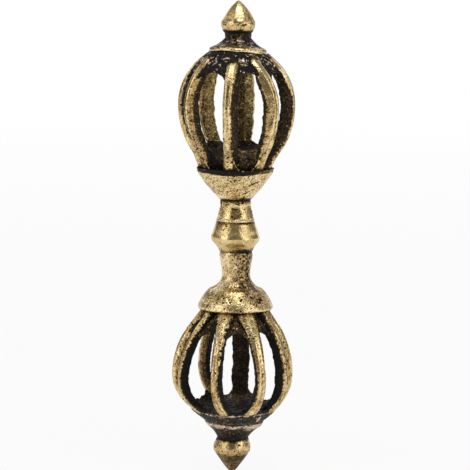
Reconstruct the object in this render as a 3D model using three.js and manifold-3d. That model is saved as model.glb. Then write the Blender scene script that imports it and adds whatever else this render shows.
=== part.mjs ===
// A small double-ended vajra in cast brass: two ribbed cages on a short turned handle.
// Millimetres. +Z runs up the handle and the origin is at the widest ring of the handle bead.
// Azimuths are in degrees, 0 towards -Y and 90 towards +X.
import * as THREE from "three";
import { mergeVertices } from "three/addons/utils/BufferGeometryUtils.js";
import Module from "manifold-3d";

const wasm = await Module();
wasm.setup();

const TURNED_SIDES = 32;
const ARCH_SIDES = 12;
const RIB_STATIONS = 13; // sections along a rib
const PEG_GAP = 0.2; // round a peg in its socket, filled with braze on the real thing
const SLOT_GAP = 0.2; // round a rib in its slot
const TRIM_OVERRUN = 1.6; // how far a rib is swept past the planes that trim it
const EDGE_ROUND = 0.08; // eased edges of rims and lips

// Handle: a flared collar on a ridged bead, both threaded on the lower cup's tang
const BEAD = {
  radius: 3.88,
  ridge: 0.3,
  rise: 2.6,
  drop: 2.1,
  topRadius: 3.05,
  bottomRadius: 2.62,
  topHollow: 0.1,
  bottomSwell: 0.06,
};
const COLLAR = { height: 3.5, neckRadius: 2.4, neckLength: 1.1, footRadius: 2.98, hollow: 0.1 };
const TANG = { radius: 1.3, intoCup: 2.4 };
const STEM = {
  length: 4.6,
  topRadius: 2.5,
  ringRadius: 2.64,
  ringDrop: 0.9,
  ringSwell: 0.05,
  waistRadius: 2.22,
  waistRise: 0.7,
  waistHollow: 0.06,
};

// Heights in each half are measured away from the bead, along the handle. Each rib has its azimuth, how far its
// foot and its tip lean aside in degrees, and how stout its back is.
const UPPER = {
  name: "upper",
  up: 1,
  cup: {
    height: 4.8,
    footRadius: 2.45,
    footSwell: 0.15,
    wallRadius: 5.62,
    wallHeight: 3.8,
    wallSwell: 0.08,
    rimRadius: 6.15,
    rimLift: 0.25,
    rimWidth: 0.35,
  },
  rib: {
    footWidth: 1.1,
    midWidth: 1.2,
    tipWidth: 1.6,
    footBack: 1.7,
    midBack: 2.2,
    tipBack: 1.9,
    footDepth: 1.4,
    midDepth: 1.75,
    tipDepth: 1.2,
  },
  cage: { radius: 9.34, equator: 10.05, height: 17.0, footRise: 2.5, baseArc: 12.84, tipArc: 9.34 },
  ribs: [
    { at: -94, foot: 0, tip: 0, stout: 0.9 },
    { at: -60, foot: 2, tip: 4, stout: 1 },
    { at: -9.4, foot: -3, tip: 3, stout: 0.95 },
    { at: 41, foot: 3, tip: -12, stout: 0.95 },
    { at: 76, foot: -6, tip: -4, stout: 0.95 },
    { at: 101, foot: 0, tip: 0, stout: 0.95 },
    { at: 170, foot: 0, tip: 0, stout: 1.2 },
    { at: 217, foot: -5, tip: 1, stout: 1.05 },
  ],
  hub: { height: 4.3, recess: 0.9, wall: 2.2, dish: 1.6, arch: 1.0, pegRadius: 1.2, pegLength: 1.2 },
  crown: {
    shoulder: 1.5,
    seatRadius: 4.1,
    swell: 0.06,
    drop: 2.6,
    recess: 0.5,
    wall: 1.9,
    dish: 0.3,
    arch: 1.0,
  },
  cap: { height: 2.8, lipRadius: 4.6, lipHeight: 0.75, lipSlope: 0.3, lipSwell: 0.12, hollow: 0.25 },
  finial: {
    neckRadius: 2.11,
    tenonRadius: 0.9,
    height: 5.1,
    drumRadius: 2.62,
    drumTop: 1.8,
    drumFoot: 0.4,
    drumFootRadius: 2.42,
    drumSwell: 0.1,
    flatRadius: 0.12,
    facets: 8,
    swell: 0.26,
  },
};
const LOWER = {
  name: "lower",
  up: -1,
  cup: {
    height: 5.05,
    throatRadius: 4.1,
    throatHeight: 1.4,
    throatHollow: 0.45,
    rimRadius: 5.9,
    rimHeight: 4.15,
    wallSwell: 0.25,
    faceRadius: 5.65,
  },
  rib: {
    footWidth: 1.7,
    midWidth: 1.2,
    tipWidth: 1.4,
    footBack: 1.9,
    midBack: 1.9,
    tipBack: 1.9,
    footDepth: 1.3,
    midDepth: 1.65,
    tipDepth: 1.2,
  },
  cage: { radius: 9.7, equator: 10.35, height: 15.85, footRise: 1.85, baseArc: 14.0, tipArc: 6.7 },
  ribs: [
    { at: -96, foot: 0, tip: 0, stout: 0.9 },
    { at: -61, foot: 6, tip: 10, stout: 0.8 },
    { at: -17, foot: -1, tip: 0, stout: 1 },
    { at: 29, foot: -5, tip: -6, stout: 0.85 },
    { at: 64, foot: 1, tip: -5, stout: 1 },
    { at: 98, foot: 0, tip: 0, stout: 0.9 },
    { at: 171, foot: 0, tip: 0, stout: 1.5 },
    { at: 213, foot: 0, tip: -7, stout: 0.75 },
  ],
  hub: { height: 3.6, recess: 0.9, wall: 2.2, dish: 1.4, arch: 1.0, pegRadius: 1.2, pegLength: 1.2 },
  crown: {
    shoulder: 1.75,
    seatRadius: 4.3,
    swell: 0.06,
    drop: 1.5,
    recess: 0.5,
    wall: 1.9,
    dish: 0.3,
    arch: 0.9,
  },
  cap: { height: 2.9, lipRadius: 4.75, lipHeight: 0.35, lipSlope: 0.2, lipSwell: 0.12, hollow: 0.25 },
  finial: {
    neckRadius: 2.5,
    tenonRadius: 0.9,
    height: 5.42,
    drumRadius: 2.95,
    drumTop: 2.0,
    drumFoot: 0.6,
    drumFootRadius: 2.73,
    drumSwell: 0.1,
    flatRadius: 0.55,
    facets: 0,
    swell: 0.08,
  },
};
const FOOT_INSET = 0.1; // rib feet stand this far inside the edge that they rest by

// Where each half starts and each of its pieces seats
UPPER.start = BEAD.rise + COLLAR.height;
LOWER.start = BEAD.drop + STEM.length;
for (const half of [UPPER, LOWER]) {
  half.floor = half.start + half.cup.height;
  half.tips = half.floor + half.cage.height;
  half.capSeat = half.tips + half.crown.shoulder;
  half.neck = half.capSeat + half.cap.height;
  half.crownFloor = half.tips - half.crown.dish;
}
UPPER.footRadius = UPPER.cup.rimRadius - UPPER.cup.rimWidth - FOOT_INSET;
LOWER.footRadius = LOWER.cup.faceRadius - FOOT_INSET;

const radians = THREE.MathUtils.degToRad;

// Points after `from` up to `to` on a smooth curve that stands `bulge` proud of the chord, away from the axis
function swell(from, to, bulge, steps) {
  const [r0, h0] = from;
  const [r1, h1] = to;
  const length = Math.hypot(r1 - r0, h1 - h0);
  const side = Math.sign(h1 - h0) || 1;
  const pull = (2 * bulge * side) / length;
  const control = [(r0 + r1) / 2 + pull * (h1 - h0), (h0 + h1) / 2 - pull * (r1 - r0)];
  return Array.from({ length: steps }, (_, i) => {
    const t = (i + 1) / steps;
    return [0, 1].map((k) => (1 - t) ** 2 * from[k] + 2 * t * (1 - t) * control[k] + t ** 2 * to[k]);
  });
}

function toSolid(geometry) {
  geometry.deleteAttribute("normal");
  geometry.deleteAttribute("uv");
  const merged = mergeVertices(geometry);
  const vertProperties = Float32Array.from(merged.attributes.position.array);
  const triVerts = Uint32Array.from(merged.index.array);
  return new wasm.Manifold(new wasm.Mesh({ numProp: 3, vertProperties, triVerts }));
}

function toGeometry(solid) {
  const mesh = solid.getMesh();
  const geometry = new THREE.BufferGeometry();
  geometry.setAttribute("position", new THREE.BufferAttribute(mesh.vertProperties, 3));
  geometry.setIndex(new THREE.BufferAttribute(mesh.triVerts, 1));
  geometry.computeVertexNormals();
  return geometry;
}

// A turned solid from [radius, height] points that run up the axis side first and down the outside
function turned(profile, up = 1) {
  const points = profile.map(([r, h]) => new THREE.Vector2(r, h * up));
  if (up > 0) points.reverse();
  const geometry = new THREE.LatheGeometry(points, TURNED_SIDES);
  return geometry.rotateX(Math.PI / 2);
}

// Flattens the part of a turned solid above `from` into a cone of plane facets
function cutFacets(geometry, from, facets) {
  const position = geometry.attributes.position;
  const step = (2 * Math.PI) / facets;
  for (let i = 0; i < position.count; i++) {
    if (position.getZ(i) <= from) continue;
    const angle = Math.atan2(position.getY(i), position.getX(i));
    const within = angle - step * Math.round(angle / step);
    const share = Math.cos(step / 2) / Math.cos(within);
    position.setX(i, position.getX(i) * share);
    position.setY(i, position.getY(i) * share);
  }
  return geometry;
}

// The radius of the ribs' outer faces at a height: a straight foot, the base arc and the tip arc
function ribRadius(half, height) {
  const { radius, equator, footRise, baseArc, tipArc } = half.cage;
  const middle = half.floor + equator;
  const onArc = (arc, h) => radius - arc + Math.sqrt(arc ** 2 - (h - middle) ** 2);
  const bend = half.floor + footRise;
  if (height >= middle) return onArc(tipArc, height);
  if (height >= bend) return onArc(baseArc, height);
  return THREE.MathUtils.mapLinear(height, half.floor, bend, half.footRadius, onArc(baseArc, bend));
}

// Where a height lies along the ribs: 0 at their feet, a half at the cage's equator and 1 at their tips
function ribShare(half, height) {
  const middle = half.floor + half.cage.equator;
  const { mapLinear } = THREE.MathUtils;
  if (height < middle) return mapLinear(height, half.floor, middle, 0, 0.5);
  return mapLinear(height, middle, half.tips, 0.5, 1);
}

// Widths and depth along the ribs, eased between their feet, their middle and their tips
function ribSize(half, name, t) {
  const rib = half.rib;
  const end = t < 0.5 ? rib[`foot${name}`] : rib[`tip${name}`];
  return end + (rib[`mid${name}`] - end) * Math.sin(Math.PI * THREE.MathUtils.clamp(t, 0, 1));
}

// The direction in which a rib stands, in radians
function ribAngle(rib, t) {
  const offset = 2 * THREE.MathUtils.clamp(t, 0, 1) - 1;
  const lean = offset < 0 ? rib.foot : rib.tip;
  return radians(rib.at + lean * offset ** 2);
}

// The rib's section, rounded towards its narrow outer face: [across, depth] points, grown by a clearance
function ribSection(half, rib, t, grow) {
  const back = (ribSize(half, "Back", t) * rib.stout) / 2 + grow;
  const outer = Math.min(ribSize(half, "Width", t) / 2 + grow, back);
  const depth = ribSize(half, "Depth", t);
  const flank = outer + (back - outer) * 0.7;
  const right = [[outer, -grow], [flank, depth * 0.4], [back, depth + grow]];
  const left = right.map(([across, d]) => [-across, d]).reverse();
  return [...right, ...left];
}

// A rib swept past both ends of its cage, before it is trimmed
function ribSweep(half, rib, grow = 0) {
  const { floor, tips, up } = half;
  const middle = floor + half.cage.equator;
  const { lerp } = THREE.MathUtils;
  const heights = Array.from({ length: RIB_STATIONS }, (_, i) => {
    const t = i / (RIB_STATIONS - 1);
    return t < 0.5 ? lerp(floor, middle, 2 * t) : lerp(middle, tips, 2 * t - 1);
  });
  const nudge = 0.01;
  const slope = (h) => (ribRadius(half, h + nudge) - ribRadius(half, h - nudge)) / (2 * nudge);
  const stations = heights.map((h, i) => {
    return { r: ribRadius(half, h), h, slope: slope(h), t: i / (RIB_STATIONS - 1) };
  });
  const extend = (s, rise) => ({ ...s, h: s.h + rise, r: s.r + s.slope * rise });
  stations.unshift(extend(stations[0], -TRIM_OVERRUN));
  stations.push(extend(stations.at(-1), TRIM_OVERRUN));
  const positions = [];
  for (const s of stations) {
    const run = Math.hypot(s.slope, 1);
    const angle = ribAngle(rib, s.t);
    const outward = [Math.sin(angle), -Math.cos(angle)];
    const across = [Math.cos(angle), Math.sin(angle)];
    for (const [a, d] of ribSection(half, rib, s.t, grow)) {
      const r = s.r - d / run;
      const h = s.h + (d * s.slope) / run;
      positions.push(r * outward[0] + a * across[0], r * outward[1] + a * across[1], h * up);
    }
  }
  return skin(positions, stations.length, up);
}

// Closes rings of equally many points into one body
function skin(positions, rings, up) {
  const side = positions.length / 3 / rings;
  const faces = [];
  const face = (a, b, c) => faces.push(...(up > 0 ? [a, b, c] : [a, c, b]));
  for (let k = 0; k + 1 < rings; k++) {
    for (let i = 0; i < side; i++) {
      const j = (i + 1) % side;
      const [a, b] = [k * side + i, k * side + j];
      face(a, b, b + side);
      face(a, b + side, a + side);
    }
  }
  const last = (rings - 1) * side;
  for (let i = 1; i + 1 < side; i++) {
    face(0, i + 1, i);
    face(last, last + i, last + i + 1);
  }
  const geometry = new THREE.BufferGeometry();
  geometry.setAttribute("position", new THREE.Float32BufferAttribute(positions, 3));
  geometry.setIndex(faces);
  return toSolid(geometry);
}

// A block that spans two heights of a half and everything round the axis
function slab(half, from, to) {
  const width = 4 * half.cage.radius;
  const block = new THREE.BoxGeometry(width, width, to - from);
  block.translate(0, 0, (half.up * (from + to)) / 2);
  return toSolid(block);
}

function makeRib(half, rib) {
  return ribSweep(half, rib).intersect(slab(half, half.floor, half.tips));
}

// What the ribs take out of a hub or crown: each rib with its clearance, up to the face it seats on
function cutSlots(half, body, from, to) {
  const reach = slab(half, from, to);
  return half.ribs.reduce((rest, rib) => {
    return rest.subtract(ribSweep(half, rib, SLOT_GAP).intersect(reach));
  }, body);
}

// Rounds the edge of a web between each two ribs: radial arches that reach `rise` into it from `edge`
function cutArches(half, body, edge, rise, inner) {
  const { ribs, up } = half;
  const t = ribShare(half, edge);
  const back = ribSize(half, "Back", Math.round(t));
  const outer = ribRadius(half, edge);
  return ribs.reduce((rest, rib, i) => {
    const last = i + 1 === ribs.length;
    const from = ribAngle(rib, t);
    const to = ribAngle(ribs[last ? 0 : i + 1], t) + (last ? 2 * Math.PI : 0);
    const radius = outer * Math.sin((to - from) / 2) - back / 2;
    const arch = new THREE.CylinderGeometry(radius, radius, outer, ARCH_SIDES);
    const away = Math.sign(rise);
    arch.translate(0, inner + outer / 2, 0);
    arch.rotateZ((from + to) / 2 + Math.PI);
    arch.translate(0, 0, up * (edge + rise - away * radius));
    return rest.subtract(toSolid(arch));
  }, body);
}

// The web's outer face between two heights, behind the ribs' faces
function webPoints(half, from, to, recess, steps) {
  return Array.from({ length: steps + 1 }, (_, i) => {
    const h = THREE.MathUtils.lerp(from, to, i / steps);
    return [ribRadius(half, h) - recess, h];
  });
}

// The mass at the ribs' feet, dished inside and pegged into the cup
function makeHub(half) {
  const { height, recess, wall, dish, arch, pegRadius, pegLength } = half.hub;
  const top = half.floor + height;
  const web = webPoints(half, top, half.floor, recess, 4);
  const inner = web[0][0] - wall;
  const profile = [
    [0, half.floor - pegLength],
    [0, top - dish],
    ...swell([0, top - dish], [inner, top], dish / 3, 3),
    ...web,
    [pegRadius, half.floor],
    [pegRadius, half.floor - pegLength],
    [0, half.floor - pegLength],
  ];
  const blank = toSolid(turned(profile, half.up));
  const whole = cutSlots(half, blank, half.floor - TRIM_OVERRUN, top + TRIM_OVERRUN);
  return cutArches(half, whole, top, -arch, inner - wall);
}

// The mass at the ribs' tips: a shoulder over the tips and a web between them, bored for the finial's tenon
function makeCrown(half) {
  const { seatRadius, swell: roundness, drop, recess, wall, arch, dish } = half.crown;
  const bore = half.finial.tenonRadius + PEG_GAP;
  const web = webPoints(half, half.tips, half.tips - drop, recess, 3);
  const [edge, foot] = web.at(-1);
  const inner = edge - wall;
  const shoulder = ribRadius(half, half.tips);
  const profile = [
    [bore, half.crownFloor],
    [bore, half.capSeat],
    [seatRadius, half.capSeat],
    ...swell([seatRadius, half.capSeat], [shoulder, half.tips], roundness, 2),
    ...web,
    [inner, foot],
    ...swell([inner, foot], [bore, half.crownFloor], dish, 3),
  ];
  const blank = toSolid(turned(profile, half.up));
  const whole = cutSlots(half, blank, foot - TRIM_OVERRUN, half.tips);
  return cutArches(half, whole, foot, arch, inner - wall);
}

function makeCap(half) {
  const { lipRadius, lipHeight, lipSlope, lipSwell, hollow } = half.cap;
  const bore = half.finial.tenonRadius + PEG_GAP;
  const neck = [half.finial.neckRadius, half.neck];
  const band = [lipRadius - lipSlope, half.capSeat + lipHeight];
  const profile = [
    [bore, half.capSeat],
    [bore, half.neck],
    neck,
    ...swell(neck, band, -hollow, 4),
    ...swell(band, [lipRadius - EDGE_ROUND, half.capSeat], lipSwell, 3),
    [bore, half.capSeat],
  ];
  return toSolid(turned(profile, half.up));
}

function makeFinial(half) {
  const f = half.finial;
  const at = (r, h) => [r, half.neck + h];
  const profile = [
    [0, half.crownFloor],
    at(0, f.height),
    at(f.flatRadius, f.height),
    ...swell(at(f.flatRadius, f.height), at(f.drumRadius, f.drumTop), f.swell, 5),
    ...swell(at(f.drumRadius, f.drumTop), at(f.drumFootRadius, f.drumFoot), f.drumSwell, 3),
    at(f.neckRadius, 0),
    [f.tenonRadius, half.neck],
    [f.tenonRadius, half.crownFloor],
    [0, half.crownFloor],
  ];
  const geometry = turned(profile, half.up);
  return toSolid(f.facets ? cutFacets(geometry, half.neck + f.drumTop + EDGE_ROUND, f.facets) : geometry);
}

function makeUpperCup(half) {
  const { footRadius, footSwell, wallRadius, wallHeight, wallSwell, rimRadius, rimLift, rimWidth } = half.cup;
  const socket = TANG.radius + PEG_GAP;
  const socketEnd = half.start + TANG.intoCup + PEG_GAP;
  const pegHole = half.hub.pegRadius + PEG_GAP;
  const pegEnd = half.floor - half.hub.pegLength - PEG_GAP;
  const wall = [wallRadius, half.start + wallHeight];
  const rim = half.floor + rimLift;
  const profile = [
    [0, socketEnd],
    [0, pegEnd],
    [pegHole, pegEnd],
    [pegHole, half.floor],
    [rimRadius - rimWidth, half.floor],
    [rimRadius - rimWidth, rim],
    [rimRadius - EDGE_ROUND, rim],
    [rimRadius, half.floor],
    ...swell([rimRadius, half.floor], wall, wallSwell, 3),
    ...swell(wall, [footRadius, half.start], footSwell, 4),
    [socket, half.start],
    [socket, socketEnd],
    [0, socketEnd],
  ];
  return toSolid(turned(profile, half.up));
}

// The lower cup, its stem and the tang that the bead, the collar and the upper cup are threaded on
function makeLowerCup(half) {
  const { throatRadius, throatHeight, throatHollow, rimRadius, rimHeight, wallSwell, faceRadius } = half.cup;
  const pegHole = half.hub.pegRadius + PEG_GAP;
  const pegEnd = half.floor - half.hub.pegLength - PEG_GAP;
  const tangEnd = -(UPPER.start + TANG.intoCup);
  const ring = [STEM.ringRadius, BEAD.drop + STEM.ringDrop];
  const waist = [STEM.waistRadius, half.start - STEM.waistRise];
  const throat = [throatRadius, half.start + throatHeight];
  const rim = [rimRadius, half.start + rimHeight];
  const outside = [
    [STEM.topRadius, BEAD.drop],
    ...swell([STEM.topRadius, BEAD.drop], ring, STEM.ringSwell, 2),
    ...swell(ring, waist, -STEM.waistHollow, 3),
    ...swell(waist, throat, -throatHollow, 4),
    ...swell(throat, rim, wallSwell, 4),
    ...swell(rim, [faceRadius, half.floor], EDGE_ROUND, 2),
  ];
  const profile = [
    [0, tangEnd],
    [0, pegEnd],
    [pegHole, pegEnd],
    [pegHole, half.floor],
    ...outside.reverse(),
    [TANG.radius, BEAD.drop],
    [TANG.radius, tangEnd],
    [0, tangEnd],
  ];
  return toSolid(turned(profile, half.up));
}

function makeCollar() {
  const bore = TANG.radius + PEG_GAP;
  const top = BEAD.rise + COLLAR.height;
  const neck = [COLLAR.neckRadius, top - COLLAR.neckLength];
  const profile = [
    [bore, BEAD.rise],
    [bore, top],
    [COLLAR.neckRadius, top],
    neck,
    ...swell(neck, [COLLAR.footRadius, BEAD.rise], -COLLAR.hollow, 4),
    [bore, BEAD.rise],
  ];
  return toSolid(turned(profile));
}

function makeBead() {
  const bore = TANG.radius + PEG_GAP;
  const shoulder = [BEAD.radius, BEAD.ridge / 2];
  const belly = [BEAD.radius, -BEAD.ridge / 2];
  const profile = [
    [bore, -BEAD.drop],
    [bore, BEAD.rise],
    [BEAD.topRadius, BEAD.rise],
    ...swell([BEAD.topRadius, BEAD.rise], shoulder, -BEAD.topHollow, 4),
    belly,
    ...swell(belly, [BEAD.bottomRadius, -BEAD.drop], BEAD.bottomSwell, 3),
    [bore, -BEAD.drop],
  ];
  return toSolid(turned(profile));
}

const FINISHES = {
  polished: { color: 0xc9a764, roughness: 0.32, metalness: 1 },
  cast: { color: 0x9a8350, roughness: 0.5, metalness: 1 },
  blackened: { color: 0x4c4128, roughness: 0.6, metalness: 0.9 },
};

function addPart(group, name, solid, finish) {
  const mesh = new THREE.Mesh(toGeometry(solid), new THREE.MeshStandardMaterial(FINISHES[finish]));
  mesh.name = name;
  group.add(mesh);
}

function buildHalf(half, makeCup) {
  const group = new THREE.Group();
  addPart(group, `${half.name}_cup`, makeCup(half), "cast");
  addPart(group, `${half.name}_root_hub`, makeHub(half), "blackened");
  half.ribs.forEach((rib, i) => {
    addPart(group, `${half.name}_rib_${i + 1}`, makeRib(half, rib), "polished");
  });
  addPart(group, `${half.name}_crown`, makeCrown(half), "blackened");
  addPart(group, `${half.name}_cap`, makeCap(half), "cast");
  addPart(group, `${half.name}_finial`, makeFinial(half), "polished");
  return group;
}

const vajra = new THREE.Group();
vajra.add(buildHalf(UPPER, makeUpperCup));
addPart(vajra, "handle_collar", makeCollar(), "cast");
addPart(vajra, "handle_bead", makeBead(), "polished");
vajra.add(buildHalf(LOWER, makeLowerCup));

export default vajra;
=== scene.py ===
# A small double-ended vajra in cast brass, dressed as an old casting: pitted, blackened and rubbed bright.
# Shapes are worked out in millimetres and turned into metres when a mesh is made. Azimuths are in degrees,
# 0 towards -Y and 90 towards +X. Heights in each half are measured away from the bead, along the handle.
import math
from itertools import product
from types import SimpleNamespace

import bpy
import numpy as np
from mathutils import Matrix, Vector


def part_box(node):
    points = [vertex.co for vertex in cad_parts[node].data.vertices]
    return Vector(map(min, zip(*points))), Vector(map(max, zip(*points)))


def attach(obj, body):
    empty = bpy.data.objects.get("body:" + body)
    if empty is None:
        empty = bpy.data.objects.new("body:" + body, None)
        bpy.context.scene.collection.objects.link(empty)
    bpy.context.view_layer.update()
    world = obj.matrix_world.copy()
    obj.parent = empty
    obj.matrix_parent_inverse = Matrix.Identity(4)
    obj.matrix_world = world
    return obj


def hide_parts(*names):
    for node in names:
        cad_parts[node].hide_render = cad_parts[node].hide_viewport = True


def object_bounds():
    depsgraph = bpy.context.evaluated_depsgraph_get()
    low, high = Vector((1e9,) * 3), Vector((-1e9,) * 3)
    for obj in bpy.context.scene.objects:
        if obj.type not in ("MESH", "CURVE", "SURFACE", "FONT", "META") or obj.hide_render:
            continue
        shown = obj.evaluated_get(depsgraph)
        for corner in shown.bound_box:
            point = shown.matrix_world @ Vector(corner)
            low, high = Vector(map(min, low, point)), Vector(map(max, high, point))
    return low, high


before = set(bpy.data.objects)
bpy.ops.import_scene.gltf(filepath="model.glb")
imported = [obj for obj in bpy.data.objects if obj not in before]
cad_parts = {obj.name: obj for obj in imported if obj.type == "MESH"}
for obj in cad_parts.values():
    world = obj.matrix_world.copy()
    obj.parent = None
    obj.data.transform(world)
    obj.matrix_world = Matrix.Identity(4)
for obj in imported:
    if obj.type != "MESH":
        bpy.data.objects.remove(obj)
cad_low, cad_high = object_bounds()

MM = 0.001
BODY = "root"
FINE = 0.09  # spacing of the points on visible surfaces
COARSE = 0.6  # spacing of the points in sockets and bores


def high(node, axis):
    """The highest coordinate of a CAD node, in millimetres."""
    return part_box(node)[1][axis] / MM


def low(node, axis):
    """The lowest coordinate of a CAD node, in millimetres."""
    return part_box(node)[0][axis] / MM


def span(node, up):
    """Where a CAD node starts and ends along the handle, measured away from the bead."""
    return sorted([up * low(node, 2), up * high(node, 2)])


# Handle, and the hidden joints
TANG_RADIUS = 1.3
TANG_GAP = 0.2
BORE_RADIUS = 1.1  # of the bore that a finial's tenon goes into
PEG = SimpleNamespace(radius=1.2, length=1.2, gap=0.2)
PEG_SEAT = 1.5  # how wide the flat round a peg is where its hub stands
BEAD = SimpleNamespace(
    top=high("handle_bead", 2),
    foot=low("handle_bead", 2),
    radius=high("handle_bead", 0),
    top_radius=3.05,
    foot_radius=2.62,
)
COLLAR = SimpleNamespace(
    top=high("handle_collar", 2),
    foot=low("handle_collar", 2),
    radius=high("handle_collar", 0),
    neck_radius=2.4,
    neck_length=1.0,
)
STEM = SimpleNamespace(
    length=4.6,
    top_radius=2.5,
    ring_radius=2.64,
    ring_drop=0.9,
    waist_radius=2.22,
    waist_rise=0.7,
)


def rib(
    at, foot, tip, stout, left, right, crest=0.4, face=1.0, wide=(0, 0), flare=(0, 0), back=(0, 0), dull=0.0,
    deep=1.0,
):
    """One rib. `at` is its azimuth, `foot` and `tip` how far its ends lean from it. `stout`, `face` and
    `deep` say how wide its back, how wide its face and how deep it is for its half. `left` and `right`
    say how deep its flanks are painted bright at its foot, middle and tip: partly wear on its edges and
    partly painted light on a flank that faces a lamp, dark past it. `crest` says how far it stays bright
    past the shoulder's edge and `dull` how much darker its face is than its edges. Pairs are for its left
    and right side: how much wider its back stands on that side, how far its foot flares and how bright its
    back is painted, as light falling on it."""
    return SimpleNamespace(
        at=at, foot=foot, tip=tip, stout=stout, lit=(left, right), crest=crest, face=face, wide=wide,
        flare=flare, back=back, dull=dull, deep=deep,
    )


def mark(azimuth, height, length, width, slant=0, depth=0.1):
    """A gash on a surface, or a ridge where its depth is less than zero: where it is along z and round
    it, its half length and half width, and how it slants."""
    return SimpleNamespace(
        azimuth=azimuth, height=height, length=length, width=width, slant=slant, depth=depth
    )


# Both halves, from the handle to their tips. Three values are those at the ribs' feet, middle and tips.
# `lean` is how far the cap's lip sinks, `flash` how bright the fins at the ribs' feet are, `dirt` how rubbed
# a rib's flanks are, `painted_light` how much a painted highlight brightens its face near its foot and its
# tip, `groove` how dark the groove in it is, painted as a reflection with brighter ridges beside it,
# `dark_foot` from where to where its foot turns bright and `root` how far it reaches into its cup.
UPPER = SimpleNamespace(
    name="upper",
    up=1,
    flash=1,
    lean=0.2,
    dirt=0.17,
    painted_light=(0, 0.16),
    groove=0.4,
    dark_foot=(0, 1.0),
    root=0.15,
    start=high("handle_collar", 2),
    cup=SimpleNamespace(
        foot_radius=2.45, wall_radius=5.62, wall_height=3.8, rim_radius=high("upper_cup", 0), rim_width=0.35
    ),
    width=(1.1, 1.2, 1.6),
    back=(1.7, 2.2, 1.9),
    depth=(1.4, 1.75, 1.2),
    foot_radius=5.7,
    foot_rise=2.5,
    cage_radius=9.34,
    equator=10.05,
    base_arc=12.84,
    tip_arc=9.34,
    ribs=[
        rib(-94, 0, 0, 0.9, (0.4, 0.5, 0.5), (1.1, 0.6, 0.4), crest=0.9),
        rib(-60, 2, 4, 1.0, (0.2, 0.15, 0.2), (0.6, 0.7, 0.6), crest=0.6, wide=(0, 0.65), flare=(0, 0.8),
            dull=0.35),
        rib(-9.4, -3, 3, 0.95, (0.3, 0.3, 0.3), (0.2, 0.1, 0.25), crest=0, face=1.25, wide=(-0.2, 0.45),
            flare=(0, 1.3)),
        rib(41, 3, -12, 0.95, (0.3, 0.85, 0.4), (0.4, 0.25, 0.3), crest=0.5, face=1.25, wide=(0.5, 0),
            flare=(1, 0.4)),
        rib(76, -6, -4, 0.95, (0.25, 0.15, 0.8), (0.2, 0.3, 0.3), crest=0.8, deep=1.25),
        rib(101, 0, 0, 0.95, (0.4, 0.4, 0.4), (0.4, 0.4, 0.4), crest=0.8, back=(0.1, 0.15)),
        rib(170, 0, 0, 1.2, (0.4, 0.6, 0.4), (0.4, 0.6, 0.4), wide=(0.2, 0.25), back=(0.5, 0.14)),
        rib(217, -5, 1, 1.05, (0.4, 0.6, 0.4), (0.4, 0.6, 0.4), wide=(0.15, 0.3), back=(0.34, 0.3)),
    ],
    hub=SimpleNamespace(height=4.3, recess=1.25, wall=2.2, dish=1.6, arch=1.0, worn_and_lit=0),
    crown=SimpleNamespace(
        seat_radius=4.45, drop=2.6, recess=0.5, wall=1.9, arch=1.0, shelf=0.3, line=0, sparkle=1.0,
        ridges=(mark(33, 28.7, 0.9, 0.13, -27, -0.16), mark(-48, 28.4, 0.5, 0.12, 30, -0.08)),
    ),
    cap=SimpleNamespace(
        lip_height=0.65, lip_slope=0.3, lip_swell=0.1, throat=0.75, hollow=0.2, uneven=0.22,
        edge_height=0.22, edge_width=0.3, twin=1, pink=0.3, painted_sheen=1, bright=1.4,
    ),
    finial=SimpleNamespace(
        neck_radius=2.11, drum_top=1.8, drum_foot=0.4, foot_radius=2.42, tip_radius=0.12, facets=True,
        swell=0.26, tip_painted_light=0.05, dark_foot=0.45,
        painted_light_patches=((58, 22, -0.35), (-42, 22, -0.25), (-16, 5, -0.3), (27, 4, -0.25), (6, 9, 0.1)),
        gashes=(mark(22, 33.5, 0.6, 0.18, 10, 0.14),),
    ),
)
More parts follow.
